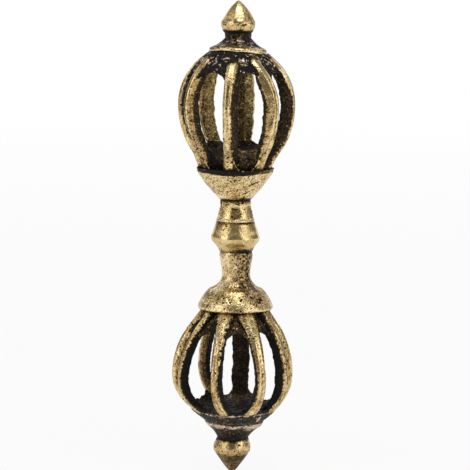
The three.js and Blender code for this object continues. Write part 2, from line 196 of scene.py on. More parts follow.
LOWER = SimpleNamespace(
    name="lower",
    up=-1,
    flash=0,
    lean=0,
    dirt=0.07,
    painted_light=(0.1, 0.06),
    groove=0.1,
    dark_foot=(-0.5, 0),
    root=0.8,
    start=-low("handle_bead", 2) + STEM.length,
    cup=SimpleNamespace(
        throat_radius=4.15, throat_height=1.4, rim_radius=high("lower_cup", 0), rim_height=4.25,
        face_radius=5.7, rim_lift=0.5,
    ),
    width=(1.7, 1.2, 1.7),
    back=(1.9, 1.9, 1.9),
    depth=(1.3, 1.65, 1.2),
    foot_radius=5.55,
    foot_rise=1.85,
    cage_radius=9.7,
    equator=10.35,
    base_arc=14.0,
    tip_arc=6.7,
    ribs=[
        rib(-96, 0, 0, 0.9, (0.4, 0.5, 0.4), (1.2, 1.1, 0.9), crest=0),
        rib(-61, 6, 10, 0.8, (0.4, 0.5, 0.4), (0.2, 0.1, 0.1), crest=0, wide=(0, -0.2)),
        rib(-17, -1, 5, 1.0, (0.4, 0.3, 0.3), (0.4, 0.1, 0.2), crest=-0.1, face=1.2, wide=(-0.2, 0),
            flare=(0.4, 0.4)),
        rib(29, -5, -6, 0.85, (0.6, 0.2, 0.3), (0.3, 0.3, 0.3), crest=-0.1, face=1.35, wide=(-0.25, 0),
            flare=(0.6, 0.2)),
        rib(64, 1, -5, 1.0, (0.1, 0.4, 0.4), (0.9, 0.9, 0.9), crest=0, face=1.3, dull=0.2, deep=1.15),
        rib(98, 0, 0, 0.9, (1.3, 1.3, 1.2), (0.4, 0.5, 0.4), crest=0, wide=(0.2, 0)),
        rib(171, 0, 0, 1.5, (0.4, 0.5, 0.4), (0.4, 0.5, 0.4), back=(0.08, 0.08)),
        rib(213, 0, -7, 0.75, (0.4, 0.5, 0.4), (0.6, 0.8, 0.6), wide=(0.35, 0), back=(0.05, 0.28)),
    ],
    hub=SimpleNamespace(height=3.6, recess=1.15, wall=2.2, dish=1.4, arch=1.0, worn_and_lit=0.08),
    crown=SimpleNamespace(
        seat_radius=4.6, drop=1.5, recess=0.5, wall=1.9, arch=0.9, shelf=1.6, line=1, sparkle=0.3,
        ridges=(
            mark(42, -28.3, 0.4, 0.6, 0, -0.05),
            mark(-60, -27.4, 0.9, 0.3, 20, -0.06),
            mark(68, -27.3, 0.7, 0.25, -20, -0.06),
        ),
    ),
    cap=SimpleNamespace(
        lip_height=0.8, lip_slope=0.45, lip_swell=0.06, throat=0.1, hollow=0.15, uneven=0.12,
        edge_height=0.42, edge_width=0.36, twin=0, pink=0.8, painted_sheen=0.3, bright=0.65,
    ),
    finial=SimpleNamespace(
        neck_radius=2.5, drum_top=2.0, drum_foot=0.6, foot_radius=2.73, tip_radius=0.55, facets=False,
        swell=0.08, tip_painted_light=-0.25, dark_foot=0.25, painted_light_patches=(),
        gashes=(mark(22, -33.0, 0.22, 0.14, 20, 0.14),),
    ),
)
for half in (UPPER, LOWER):
    half.floor, half.tips = span(f"{half.name}_rib_1", half.up)
    half.seat, half.neck = span(f"{half.name}_cap", half.up)
    half.bore_floor, half.end = span(f"{half.name}_finial", half.up)
    half.lip_radius = high(f"{half.name}_cap", 0)
    half.drum_radius = high(f"{half.name}_finial", 0)


# Noise and curves

LATTICE_MIX = (374761393, 668265263, 2246822519, 3266489917, 2654435761)  # odd numbers that scatter bits
ROUGH_SUM = 1.5  # brings the sum of lumps back to about -1 to 1
PIT_RADII = (0.25, 0.5)  # of the smallest and the largest pit, as shares of their spacing
SMALL_PITS = 0.6  # how deep the small pits are for the large ones
LEAST_GRAIN = 0.3  # how much of its grain the smoothest surface keeps
GASH_RAG, GASH_RAG_SIZE = 0.35, 0.2  # how ragged a gash's edge is
# Added to a piece's seed for each kind of noise on it
GRAIN_SEED, PIT_SEED, SMALL_PIT_SEED, GASH_SEED = 20, 40, 50, 60
SPECKLE_SEED, TEAR_SEED, STREAK_SEED = 90, 95, 97
NOISE_RING = 6.0  # radius of the circle on which noise round the axis is read, about that of the lips
SWELL_STEPS = 12


def lattice(cells, seed):
    """A repeatable number from 0 to 1 for each cell of a grid."""
    by_x, by_y, by_z, by_seed, by_fold = (np.uint32(number) for number in LATTICE_MIX)
    x, y, z = (cells[..., k].astype(np.int64).astype(np.uint32) for k in range(3))
    mixed = x * by_x + y * by_y + z * by_z
    mixed = mixed + np.uint32(seed * int(by_seed) % 2**32)
    mixed = (mixed ^ (mixed >> np.uint32(15))) * by_fold
    mixed = (mixed ^ (mixed >> np.uint32(13))) * by_seed
    return (mixed ^ (mixed >> np.uint32(16))).astype(np.float64) / 2**32


def lumps(points, size, seed):
    """Smooth noise from -1 to 1, whose lumps are about `size` across."""
    scaled = points / size
    base = np.floor(scaled)
    part = scaled - base
    part = part * part * (3 - 2 * part)
    total = np.zeros(points.shape[:-1])
    for corner in product((0, 1), repeat=3):
        share = np.prod(np.where(corner, part, 1 - part), axis=-1)
        total += share * lattice(base + corner, seed)
    return 2 * total - 1


def rough(points, size, seed, octaves=3):
    """Lumps on lumps, each half as large and half as high as the last."""
    total = 0
    for k in range(octaves):
        total = total + lumps(points, size / 2**k, seed + k) / 2**k
    return total / ROUGH_SUM


def pits(points, spacing, share, seed):
    """How deep, 0 to 1, each point lies in round pits: a share of the cells hold one."""
    least, most = PIT_RADII
    scaled = points / spacing
    base = np.floor(scaled)
    deepest = np.zeros(points.shape[:-1])
    for offset in product((-1, 0, 1), repeat=3):
        cell = base + offset
        centre = cell + np.stack([lattice(cell, seed + k) for k in range(3)], axis=-1)
        radius = least + (most - least) * lattice(cell, seed + 3)
        away = np.sum((scaled - centre) ** 2, axis=-1) / radius**2
        depth = np.clip(1 - away, 0, 1) * (lattice(cell, seed + 4) < share)
        deepest = np.maximum(deepest, depth)
    return deepest


def ease(value, start, end):
    """0 before start, 1 after end and a smooth step between them."""
    t = np.clip((value - start) / (end - start), 0, 1)
    return t * t * (3 - 2 * t)


def bell(value, middle, width):
    """1 at the middle, fading to 0 on both sides."""
    return np.exp(-(((value - middle) / width) ** 2))


def swell(start, end, bulge):
    """Points from start to end on a smooth curve that stands `bulge` proud of the chord."""
    (r0, h0), (r1, h1) = start, end
    length = math.hypot(r1 - r0, h1 - h0)
    pull = 2 * bulge * (1 if h1 >= h0 else -1) / length
    control = ((r0 + r1) / 2 + pull * (h1 - h0), (h0 + h1) / 2 - pull * (r1 - r0))
    t = np.linspace(0, 1, SWELL_STEPS + 1)[:, None]
    curve = (1 - t) ** 2 * np.array(start) + 2 * t * (1 - t) * np.array(control) + t**2 * np.array(end)
    return [tuple(p) for p in curve]


def resample(line, spacing):
    """The same line with evenly spaced points."""
    line = np.asarray(line, float)
    steps = np.hypot(*np.diff(line, axis=0).T)
    along = np.concatenate([[0], np.cumsum(steps)])
    at = np.linspace(0, along[-1], max(int(along[-1] / spacing), 1) + 1)
    return np.column_stack([np.interp(at, along, line[:, k]) for k in (0, 1)])


def soften(line, passes):
    """Rounds the corners of an open line, whose ends stay."""
    for _ in range(passes):
        line[1:-1] = (line[:-2] + 2 * line[1:-1] + line[2:]) / 4
    return line


# Grids of points, and the meshes made from them

# Height along the handle, and how far the casting strays along x there
BENDS = (
    (-37, 0), (-33, -0.05), (-30, 0.35), (-27, 0.05), (-24, -0.1), (-21, -0.12), (-17, -0.06), (-14, 0.08),
    (-9, 0.24), (-3, 0.2), (0, 0), (5, 0), (9, -0.16), (11, -0.16), (14, 0.05), (17, 0.05), (20, 0), (37, 0),
)
BEND_SPREAD = (-1, -0.5, 0, 0.5, 1)  # the heights round a point over which its stray is averaged


def sweep_round(radii, heights, sides):
    """Rings of points round the axis from rows of radii and heights."""
    angles = np.linspace(0, 2 * math.pi, sides, endpoint=False)
    radii = np.broadcast_to(radii, (radii.shape[0], sides))
    heights = np.broadcast_to(heights, radii.shape)
    return np.stack([radii * np.sin(angles), -radii * np.cos(angles), heights], axis=-1)


def grid_normals(grid, wrap_rows):
    """Unit normals of a grid of points that closes on itself along its columns."""
    across = np.roll(grid, -1, axis=1) - np.roll(grid, 1, axis=1)
    if wrap_rows:
        along = np.roll(grid, -1, axis=0) - np.roll(grid, 1, axis=0)
    else:
        along = np.gradient(grid, axis=0)
    normal = np.cross(across, along)
    return normal / np.maximum(np.linalg.norm(normal, axis=-1, keepdims=True), 1e-9)


def grid_faces(rows, columns, wrap_rows):
    """Quads between the rows of a grid whose columns close on themselves."""
    last = rows if wrap_rows else rows - 1
    k, i = np.meshgrid(np.arange(last), np.arange(columns), indexing="ij")
    below, beside = (k + 1) % rows, (i + 1) % columns
    corners = [k * columns + i, k * columns + beside, below * columns + beside, below * columns + i]
    return np.stack(corners, axis=-1).reshape(-1, 4)


def facing_out(points, faces):
    """Whether the faces of a closed body point away from its inside."""
    a, b, c, d = (points[faces[:, k]] for k in range(4))
    return np.sum(np.cross(c - a, d - b) * (a + b + c + d)) > 0


def make_mesh(name, grid, wrap_rows, marks):
    """A closed mesh from a grid of points in millimetres. `marks` are values that its material reads."""
    rows, columns = grid.shape[:2]
    points = grid.reshape(-1, 3)
    faces = grid_faces(rows, columns, wrap_rows)
    outward = facing_out(points, faces)
    if not outward:
        faces = faces[:, ::-1]
    polygons = faces.tolist()
    values = {key: value.reshape(-1) for key, value in marks.items()}
    if not wrap_rows:
        for row, flip in ((0, outward), (rows - 1, not outward)):
            ring = list(range(row * columns, (row + 1) * columns))
            centre = len(points)
            points = np.vstack([points, points[ring].mean(axis=0)])
            values = {key: np.append(value, value[ring].mean()) for key, value in values.items()}
            for i, corner in enumerate(ring):
                other = ring[(i + 1) % columns]
                polygons.append([centre, other, corner] if flip else [centre, corner, other])
    mesh = bpy.data.meshes.new(name)
    mesh.from_pydata((points * MM).tolist(), [], polygons)
    for key, value in values.items():
        layer = mesh.attributes.new(key, "FLOAT", "POINT")
        layer.data.foreach_set("value", np.clip(value, 0, 1).astype(np.float32))
    mesh.polygons.foreach_set("use_smooth", np.ones(len(polygons), bool))
    mesh.update()
    return mesh


def bent(grid):
    """The points of a piece moved as the casting strays from its axis."""
    out = grid.copy()
    heights, shifts = zip(*BENDS)
    stray = [np.interp(grid[..., 2] + step, heights, shifts) for step in BEND_SPREAD]
    out[..., 0] += sum(stray) / len(stray)
    return out


def add_piece(name, slot, grid, wrap_rows, marks):
    """A finished piece that stands for the CAD node of the same name."""
    mesh = make_mesh(f"{name}_cast", bent(grid), wrap_rows, marks)
    mesh.materials.append(MATERIALS[slot])
    piece = bpy.data.objects.new(f"{name}_cast", mesh)
    bpy.context.scene.collection.objects.link(piece)
    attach(piece, BODY)
    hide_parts(name)
    return piece


# Weathering, and pieces turned round the axis

def azimuth_of(grid):
    return np.degrees(np.arctan2(grid[..., 0], -grid[..., 1]))


def turn_between(azimuth, middle):
    """How far an azimuth lies from another, -180 to 180."""
    return (azimuth - middle + 180) % 360 - 180


def around(azimuth, middle, width):
    """1 at an azimuth, fading to 0 on both sides."""
    return bell(turn_between(azimuth, middle), 0, width)


def ring_noise(azimuth, size, seed):
    """Noise that depends only on the azimuth and closes on itself."""
    turn = np.radians(azimuth)
    ring = np.stack([NOISE_RING * np.sin(turn), NOISE_RING * np.cos(turn), 0 * turn], axis=-1)
    return rough(ring, size, seed, 2)


def gash(grid, m, seed):
    """How deep, 0 to 1, each point lies in a mark with a ragged edge."""
    turn = turn_between(azimuth_of(grid), m.azimuth)
    side = np.radians(turn) * np.hypot(grid[..., 0], grid[..., 1])
    rise = grid[..., 2] - m.height
    c, s = math.cos(math.radians(m.slant)), math.sin(math.radians(m.slant))
    along, across = side * c + rise * s, rise * c - side * s
    reach = (along / m.length) ** 2 + (across / m.width) ** 2
    return np.clip(1 - reach + GASH_RAG * lumps(grid, GASH_RAG_SIZE, seed), 0, 1)


def stain(pitted):
    """How dark the dirt in a pit is: it fills the whole pit, not only its middle."""
    return np.sqrt(np.clip(pitted, 0, 1))


def weather(grid, normal, shown, look, seed, gashes=(), coarse=1.0):
    """Pits, grain and gashes of a rough casting: the moved points and how far each is pitted, with the
    waves and the grain there. `coarse` is how much of the grain and of the pits each point has."""
    wave = rough(grid, look.wave_size, seed)
    grain = rough(grid, look.grain_size, seed + GRAIN_SEED, 2)
    large = pits(grid, look.pit_spacing, look.pit_share, seed + PIT_SEED)
    small = pits(grid, look.pit_spacing / 2, look.pit_share, seed + SMALL_PIT_SEED)
    pitted = np.maximum(large, SMALL_PITS * small) * coarse
    grain = grain * (LEAST_GRAIN + (1 - LEAST_GRAIN) * coarse)
    depth = look.wave * wave + look.grain * grain - look.pit * pitted
    for k, m in enumerate(gashes):
        cut = gash(grid, m, seed + GASH_SEED + k)
        depth = depth - m.depth * cut
        pitted = np.maximum(pitted, cut)
    moved = grid + normal * (depth * shown)[..., None]
    return moved, pitted, wave, grain


# How rough each kind of surface is: sizes in millimetres, share of cells with a pit
CAST = SimpleNamespace(
    wave=0.05, wave_size=1.6, grain=0.03, grain_size=0.3, pit=0.1, pit_spacing=0.42, pit_share=0.5
)
SCALE = SimpleNamespace(
    wave=0.1, wave_size=1.0, grain=0.06, grain_size=0.3, pit=0.1, pit_spacing=0.5, pit_share=0.5
)
RIB = SimpleNamespace(
    wave=0.03, wave_size=1.5, grain=0.018, grain_size=0.3, pit=0.07, pit_spacing=0.4, pit_share=0.34
)
FADE_ROWS = 3  # points at each end of a visible line that are only partly weathered
POLE = 0.02  # radius of the smallest ring, which a fan of triangles closes


def turned_piece(
    name, slot, outside, inside, seed, tone, texture, up=1, gashes=(), reshape=None, coarse=None, loop=False,
    rounding=2,
):
    """A turned piece from its visible outline and the line of its sockets or bore, as [radius, height]
    points. `reshape` moves the turned points, `coarse` says how rough each is, `tone` how rubbed, coppery
    and pale it is, with the light and shade painted on some pieces, and `texture` how much its grain,
    waves and pits change how rubbed it is."""
    shown_line = soften(resample(outside, FINE), rounding)
    hidden_line = resample(inside, COARSE)
    profile = np.vstack([shown_line, hidden_line[1:-1] if loop else hidden_line[1:]])
    rows = np.arange(len(shown_line))
    visible = np.zeros(len(profile))
    visible[: len(rows)] = ease(rows, 0, FADE_ROWS) * ease(rows[::-1], 0, FADE_ROWS)
    sides = int(2 * math.pi * profile[:, 0].max() / FINE)
    grid = sweep_round(profile[:, :1], up * profile[:, 1:], sides)
    if reshape:
        grid = reshape(grid)
    shown = np.broadcast_to(visible[:, None], grid.shape[:2])
    normal = grid_normals(grid, loop)
    if np.sum(normal[..., :2] * grid[..., :2] * shown[..., None]) < 0:
        normal = -normal
    azimuth, height = azimuth_of(grid), up * grid[..., 2]
    share = coarse(azimuth, height) if coarse else 1.0
    moved, pitted, wave, grain = weather(grid, normal, shown, CAST, seed, gashes, share)
    rub, *others = tone(grid, azimuth, height, wave, grain)
    grainy, wavy, dirty = texture
    rub = rub + grainy * grain + wavy * wave - dirty * stain(pitted)
    marks = {"rub": rub, "pit": pitted, **dict(zip(("warm", "pale"), others))}
    return add_piece(name, slot, moved, loop, marks)


# Ribs

RIB_CREST = 0.25  # how far below the cap's seat a rib runs out on the shoulder
FLAT_SHARE = 0.4  # how much of a rib's face is flat
FACE_DEPTH = 0.4  # how deep below its outer face a rib's face ends
FLARE_HEIGHT = 2.6
GROOVE_DEPTH = 0.07
RIDGE_PLACE = 0.33  # how far from a rib's middle the ridges beside its groove stand
SECTION_STEPS = (3, 1, 9, 6, 7, 3, 6)  # points between neighbouring corners of the section
RIB_SAMPLES = 2000  # heights from which a rib's evenly spaced ones are found
PATH_STEP = 5  # between the ribs' paths through the noise
WANDER, WANDER_SIZE = 0.07, 3.0  # how far a rib strays sideways, and along what length
THICKEN, THICKEN_SIZE = 0.06, 1.3  # by what share its width varies, and along what length
BURRS = ((0.14, 0.5, 70), (0.08, 1.2, 80))  # height, size and own seed of the lumps behind a rib


def rib_radius(half, height):
    """The radius of the ribs' outer faces: a straight foot, the base arc and the tip arc."""
    middle = half.floor + half.equator
    bend = half.floor + half.foot_rise

    def on_arc(arc, h):
        return half.cage_radius - arc + np.sqrt(np.maximum(arc**2 - (h - middle) ** 2, 0.01))

    rise = (height - half.floor) / half.foot_rise
    foot = half.foot_radius + (on_arc(half.base_arc, bend) - half.foot_radius) * rise
    body = np.where(height >= middle, on_arc(half.tip_arc, height), on_arc(half.base_arc, height))
    return np.where(height < bend, foot, body)


def shell_radius(half, height):
    """The radius of the ribs' outer faces, and past their tips that of the shoulder over them."""
    edge = float(rib_radius(half, half.tips))
    rise = (height - half.tips) / (half.seat - half.tips)
    shoulder = edge + (half.crown.seat_radius + 0.15 - edge) * rise + 0.25 * rise * (1 - rise)
    return np.where(height > half.tips, shoulder, rib_radius(half, height))


def rib_share(half, height):
    """Where a height lies along the ribs: 0 at their feet, a half at the equator and 1 at their tips."""
    middle = half.floor + half.equator
    below = 0.5 * (height - half.floor) / half.equator
    above = 0.5 + 0.5 * (height - middle) / (half.tips - middle)
    return np.where(height < middle, below, above)


def rib_size(sizes, t):
    """A size that eases from its value at the feet to the middle one and on to the tips."""
    foot, mid, tip = sizes
    end = np.where(t < 0.5, foot, tip)
    return end + (mid - end) * np.sin(math.pi * np.clip(t, 0, 1))


def rib_azimuth(rib, t):
    """Where a rib stands round the cage: it leans one way to its foot and another way to its tip."""
    offset = 2 * np.clip(t, 0, 1) - 1
    return rib.at + np.where(offset < 0, rib.foot, rib.tip) * offset**2


def rib_stations(half):
    """Heights evenly spaced along a rib, from its foot to the end of its crest on the shoulder."""
    fine = np.linspace(half.floor - half.root, half.seat - RIB_CREST, RIB_SAMPLES)
    steps = np.hypot(np.diff(shell_radius(half, fine)), np.diff(fine))
    along = np.concatenate([[0], np.cumsum(steps)])
    return np.interp(np.linspace(0, along[-1], int(along[-1] / FINE)), along, fine)


def face_width(half, rib, height):
    """Half the width of a rib's outer face."""
    crest = ease(height, half.tips, half.seat - RIB_CREST)
    return rib_size(half.width, rib_share(half, height)) / 2 * rib.face * (1 - 0.5 * crest)


def foot_share(half, height):
    """How much of a rib's flare is left at a height: all at its foot, none above the flare."""
    return np.clip(1 - (height - half.floor) / FLARE_HEIGHT, 0, 1) ** 2


def groove_share(t):
    """How much of the outer face's groove is left along a rib."""
    return ease(t, 0.2, 0.38) * (1 - ease(t, 0.8, 0.93))


def rib_section(half, rib, height, side):
    """Corners of half the section along a rib, as [across, depth] from its outer face to its back."""
    t = rib_share(half, height)
    hand = 0 if side < 0 else 1
    face = face_width(half, rib, height)
    body = ease(t, 0.02, 0.2) * (1 - ease(t, 0.8, 0.98))
    back = np.maximum(rib_size(half.back, t) * rib.stout / 2, face) + rib.wide[hand] * body
    depth = rib_size(half.depth, t) * rib.deep
    foot = foot_share(half, height)
    flare = rib.flare[hand] * foot
    groove = GROOVE_DEPTH * groove_share(t)
    sunk = 0.1 * ease(height, half.tips, half.seat - RIB_CREST)
    zero = np.zeros_like(t)
    flat = FLAT_SHARE * face
    corners = [
        (zero, groove + sunk),
        (flat * 0.75, groove * 0.8 + sunk),
        (flat, sunk),
        (face + flare, 0.26 * face + 0.12 + sunk + 0.1 * foot),
        (np.maximum(face + (back - face) * 0.75, face + 0.6 * flare), depth * 0.42),
        (back, depth * 0.85),
        (back * 0.85, depth),
        (zero, depth * 1.02),
    ]
    return np.stack([np.stack(c, axis=-1) for c in corners], axis=1)


def rib_line(half, rib, height, side):
    """Points along one half of the section, from its outer face to its back, for each height."""
    corners = rib_section(half, rib, height, side)
    strip = []
    for k, steps in enumerate(SECTION_STEPS):
        share = (np.arange(steps) / steps)[:, None]
        strip.append(corners[:, k, None] + share * (corners[:, k + 1, None] - corners[:, k, None]))
    line = np.concatenate([*strip, corners[:, -1:]], axis=1)
    line[..., 0] *= side
    return line


def rib_shape(half, rib, number, seed):
    """A rib's points before it is weathered. With them come where each lies: its height on the rib's
    face, its share of the way along, how far across, how deep and what share of the depth."""
    height = rib_stations(half)
    t = rib_share(half, height)
    right, left = (rib_line(half, rib, height, side) for side in (1, -1))
    section = np.concatenate([right, left[:, -2:0:-1]], axis=1)
    for _ in range(2):
        section = (np.roll(section, 1, axis=1) + 2 * section + np.roll(section, -1, axis=1)) / 4
    across, depth = section[..., 0], section[..., 1]
    radius = shell_radius(half, height)
    slope = np.gradient(radius, height)
    run = np.hypot(slope, 1)
    path = np.stack([height, 0 * height + PATH_STEP * number, 0 * height], axis=-1)
    wander = WANDER * lumps(path, WANDER_SIZE, seed)[:, None]
    thick = 1 + THICKEN * lumps(path, THICKEN_SIZE, seed + 1)[:, None]
    across = across * thick + wander
    angle = np.radians(rib_azimuth(rib, t))[:, None]
    r = radius[:, None] - depth / run[:, None]
    x = r * np.sin(angle) + across * np.cos(angle)
    y = across * np.sin(angle) - r * np.cos(angle)
    z = half.up * (height[:, None] + depth * (slope / run)[:, None])
    share = depth / (rib_size(half.depth, t) * rib.deep)[:, None]
    return SimpleNamespace(
        grid=np.stack([x, y, z], axis=-1), height=height[:, None], t=t[:, None], across=across,
        middle=wander, depth=depth, share=share,
    )


def rib_tone(half, rib, at, pitted, wave, grain, seed):
    """What a rib's material reads: bright on its face and dark on its flanks, with painted light and
    shade on the flanks and painted light on the backs of some rear ribs.
    """
    side = at.across - at.middle
    hand = ease(side, -0.15, 0.15)
    aside = np.abs(side)
    # Painted light and shade: each flank is bright to its own depth, partly wear and partly light from a
    # lamp
    left, right = (rib_size(flank, at.t) for flank in rib.lit)
    lit = left * (1 - hand) + right * hand
    # Painted light: how bright each side of a rear rib's back is painted, as light falling through the cage
    back = rib.back[0] * (1 - hand) + rib.back[1] * hand
    face = face_width(half, rib, at.height)
    on_face = (aside < FLAT_SHARE * face) & (at.depth < FACE_DEPTH)
    reach = np.where(on_face, aside - FLAT_SHARE * face, at.depth) + 0.25 * grain + 0.05 * wave
    outer = (1 - 0.35 * ease(reach, 0.2, 0.9)) * (1 - ease(reach, lit - 0.1, lit + 0.14))
    behind = ease(at.share, 0.3, 0.5)
    unlit_back = 1 - behind * ease(back, 0.05, 0.2)

    # Painted reflection: a darker groove down the face, with brighter ridges beside it where its bevels
    # catch a lamp
    lines = groove_share(at.t) * bell(at.depth, 0, 0.25)
    groove = bell(aside, 0, 0.13) * lines
    ridge = bell(aside, RIDGE_PLACE, 0.12) * lines * (lit > 0.1)
    along = np.stack([at.across, 0.1 * at.height + 0 * at.across, 9 + 0 * at.across], axis=-1)
    streaks = lumps(along, 0.17, seed + STREAK_SEED)
    # Painted highlight: the face is brighter near its foot and its tip
    painted_light = half.painted_light[0] * bell(at.t, 0.2, 0.12) + half.painted_light[1] * bell(at.t, 0.85, 0.12)
    rub = (0.71 + painted_light + 0.24 * streaks) * (1 - rib.dull * (1 - ridge)) * outer
    rub = rub - half.groove * groove + 0.6 * half.groove * ridge

    top = half.tips + rib.crest + 0.5 * wave + 0.4 * grain
    start, end = half.dark_foot
    bright = ease(at.height, half.floor + start, half.floor + end)
    bright = bright * (1 - ease(at.height, top - 0.3, top + 0.15))
    wing = foot_share(half, at.height) * (rib.flare[0] * (1 - hand) + rib.flare[1] * hand)
    flared = ease(wing, 0.12, 0.3)
    web = ease(aside, face + 0.05, face + 0.25) * flared
    flash = bell(aside, face + wing, 0.12) * flared * (1 - ease(at.depth, FACE_DEPTH, 0.7))
    rub = rub * (0.1 + 0.9 * bright) * (1 - 0.8 * web * half.flash)
    # Its last term adds the painted light on the back
    rub = rub + 0.9 * flash * half.flash + back * behind * (1 - 0.5 * wave)
    # Painted glints: bright specks on the dark flanks of the upper ribs
    speckle = 0.25 * half.flash * ease(rough(at.grid, 0.3, seed + TEAR_SEED, 2), 0.3, 0.7)
    speckle = speckle * (1 - outer) * unlit_back
    rub = half.dirt * (1 - 0.7 * outer) + speckle + rub - 0.55 * stain(pitted) * unlit_back
    rub = rub + (0.12 * wave + 0.12 * grain) * (0.3 + 0.7 * outer)
    return {"rub": rub, "pit": pitted * unlit_back, "warm": 0.15 * outer}


def rib_piece(half, number, seed):
    """One rib: a swept, grooved and bevelled bar with a burred back."""
    rib = half.ribs[number - 1]
    at = rib_shape(half, rib, number, seed)
    normal = grid_normals(at.grid, False)
    if np.sum(normal * (at.grid - at.grid.mean(axis=1, keepdims=True))) < 0:
        normal = -normal
    inner = ease(at.share, 0.3, 0.8)
    coarse = (1.3 - ease(at.t, 0.2, 0.6)) * (1 - 0.6 * inner)
    shown = np.ones(inner.shape)
    moved, pitted, wave, grain = weather(at.grid, normal, shown, RIB, seed, coarse=coarse)
    burr = sum(height * rough(at.grid, size, seed + own, 2) for height, size, own in BURRS)
    moved = moved + normal * (inner * burr)[..., None]
    marks = rib_tone(half, rib, at, pitted, wave, grain, seed)
    return add_piece(f"{half.name}_rib_{number}", "rib_brass", moved, False, marks)


# Hubs and crowns

WEB_ROWS = 46  # rows of points on a web's outer face
WEB_SPREAD = 0.85  # a web's radius as a share of its cage's, for the number of points round it
WEB_LIP = 0.16  # how far a web's rounded edge stands past its faces, and how ragged it is
CROWN_FLOOR_ROWS = 30
HUB_FLOOR_ROWS = 32
BORE_ROWS = 4


def rib_gap(half, azimuth, height):
    """How far each point lies from the nearest rib's flank, and where it lies between two ribs, -1 to 1."""
    t = rib_share(half, height)
    radius = rib_radius(half, height)
    back = rib_size(half.back, t) / 2
    centres = [rib_azimuth(rib, t) for rib in half.ribs]
    edges = [np.degrees(back * rib.stout / radius) for rib in half.ribs]
    nearest = np.full(np.broadcast(azimuth, height).shape, 1e9)
    for rib, centre in zip(half.ribs, centres):
        turn = np.abs(turn_between(azimuth, centre))
        nearest = np.minimum(nearest, np.radians(turn) * radius - back * rib.stout)
    between = np.full(nearest.shape, 1.0)
    for k in range(len(half.ribs)):
        following = (k + 1) % len(half.ribs)
        whole = (centres[following] - centres[k]) % 360
        place = (azimuth - centres[k]) % 360
        share = (place - edges[k]) / np.maximum(whole - edges[k] - edges[following], 1e-6)
        inside = (place < whole) & (share > 0) & (share < 1)
        between = np.where(inside, 2 * share - 1, between)
    return nearest, between


def seat_lean(half, grid):
    """How far the casting sinks along z at a cap's lip: a little on the left and more on the right."""
    near = bell(half.up * grid[..., 2], half.seat, 1.0)
    side = np.sin(np.radians(azimuth_of(grid)))
    return -half.lean * near * side * (1 + 1.5 * side)


def web_outside(half, base, edge, recess):
    """The outer face of a web between the ribs, from its base to its edge, for each azimuth."""
    share = np.linspace(0, 1, WEB_ROWS)[:, None]
    height = base + (edge - base) * share
    azimuth = np.degrees(np.linspace(0, 2 * math.pi, edge.shape[1], endpoint=False))[None]
    gap, _ = rib_gap(half, azimuth, height)
    fillet = np.exp(-((np.maximum(gap, 0) / 0.3) ** 2))
    shelf = half.crown.shelf
    sink = recess * ease(base - height, shelf, shelf + 0.8) if base > half.tips else recess
    radius = shell_radius(half, height) - sink * (1 - 0.5 * fillet) - 0.08
    return radius, height


def web_rows(half, web, base, rim, end, share, seed):
    """Radii and heights of a web with arched, ragged edges between the ribs: up its outer face from
    `base` to `rim`, round its edge and in over its dished floor to `end`, with a row there for each
    `share` of the way."""
    sides = int(2 * math.pi * half.cage_radius * WEB_SPREAD / FINE)
    azimuth = np.degrees(np.linspace(0, 2 * math.pi, sides, endpoint=False))[None]
    _, between = rib_gap(half, azimuth, np.full((1, 1), rim))
    grows = 1 if rim > base else -1
    arch = web.arch * (1 - np.abs(between) ** 2.5)
    edge = rim - grows * arch + WEB_LIP * ring_noise(azimuth, 0.5, seed)
    outer_r, outer_h = web_outside(half, base, edge, web.recess)
    end_radius, end_height = end
    start = outer_r[-1:] - web.wall * 0.35
    inner_r = start + (end_radius - start) * share[:, None]
    inner_h = edge + (end_height - edge) * ease(share[:, None], -0.25, 0.8)
    radii = np.vstack([outer_r, (outer_r[-1:] + inner_r[:1]) / 2, inner_r])
    return radii, np.vstack([outer_h, edge + grows * WEB_LIP, inner_h])


def web_grid(half, radii, rows, before, after, loop):
    """The points of a web, their normals and which of them show: all but the `before` rows under its outer
    face, the first row of that face and the `after` rows at its end."""
    grid = sweep_round(radii, half.up * rows, radii.shape[1])
    grid[..., 2] += seat_lean(half, grid)
    shown = np.ones(grid.shape[:2])
    shown[: before + 1] = 0
    shown[-after:] = 0
    normal = grid_normals(grid, loop)
    if np.sum((normal * grid)[before : before + WEB_ROWS - 2, :, :2]) < 0:
        normal = -normal
    return grid, normal, shown


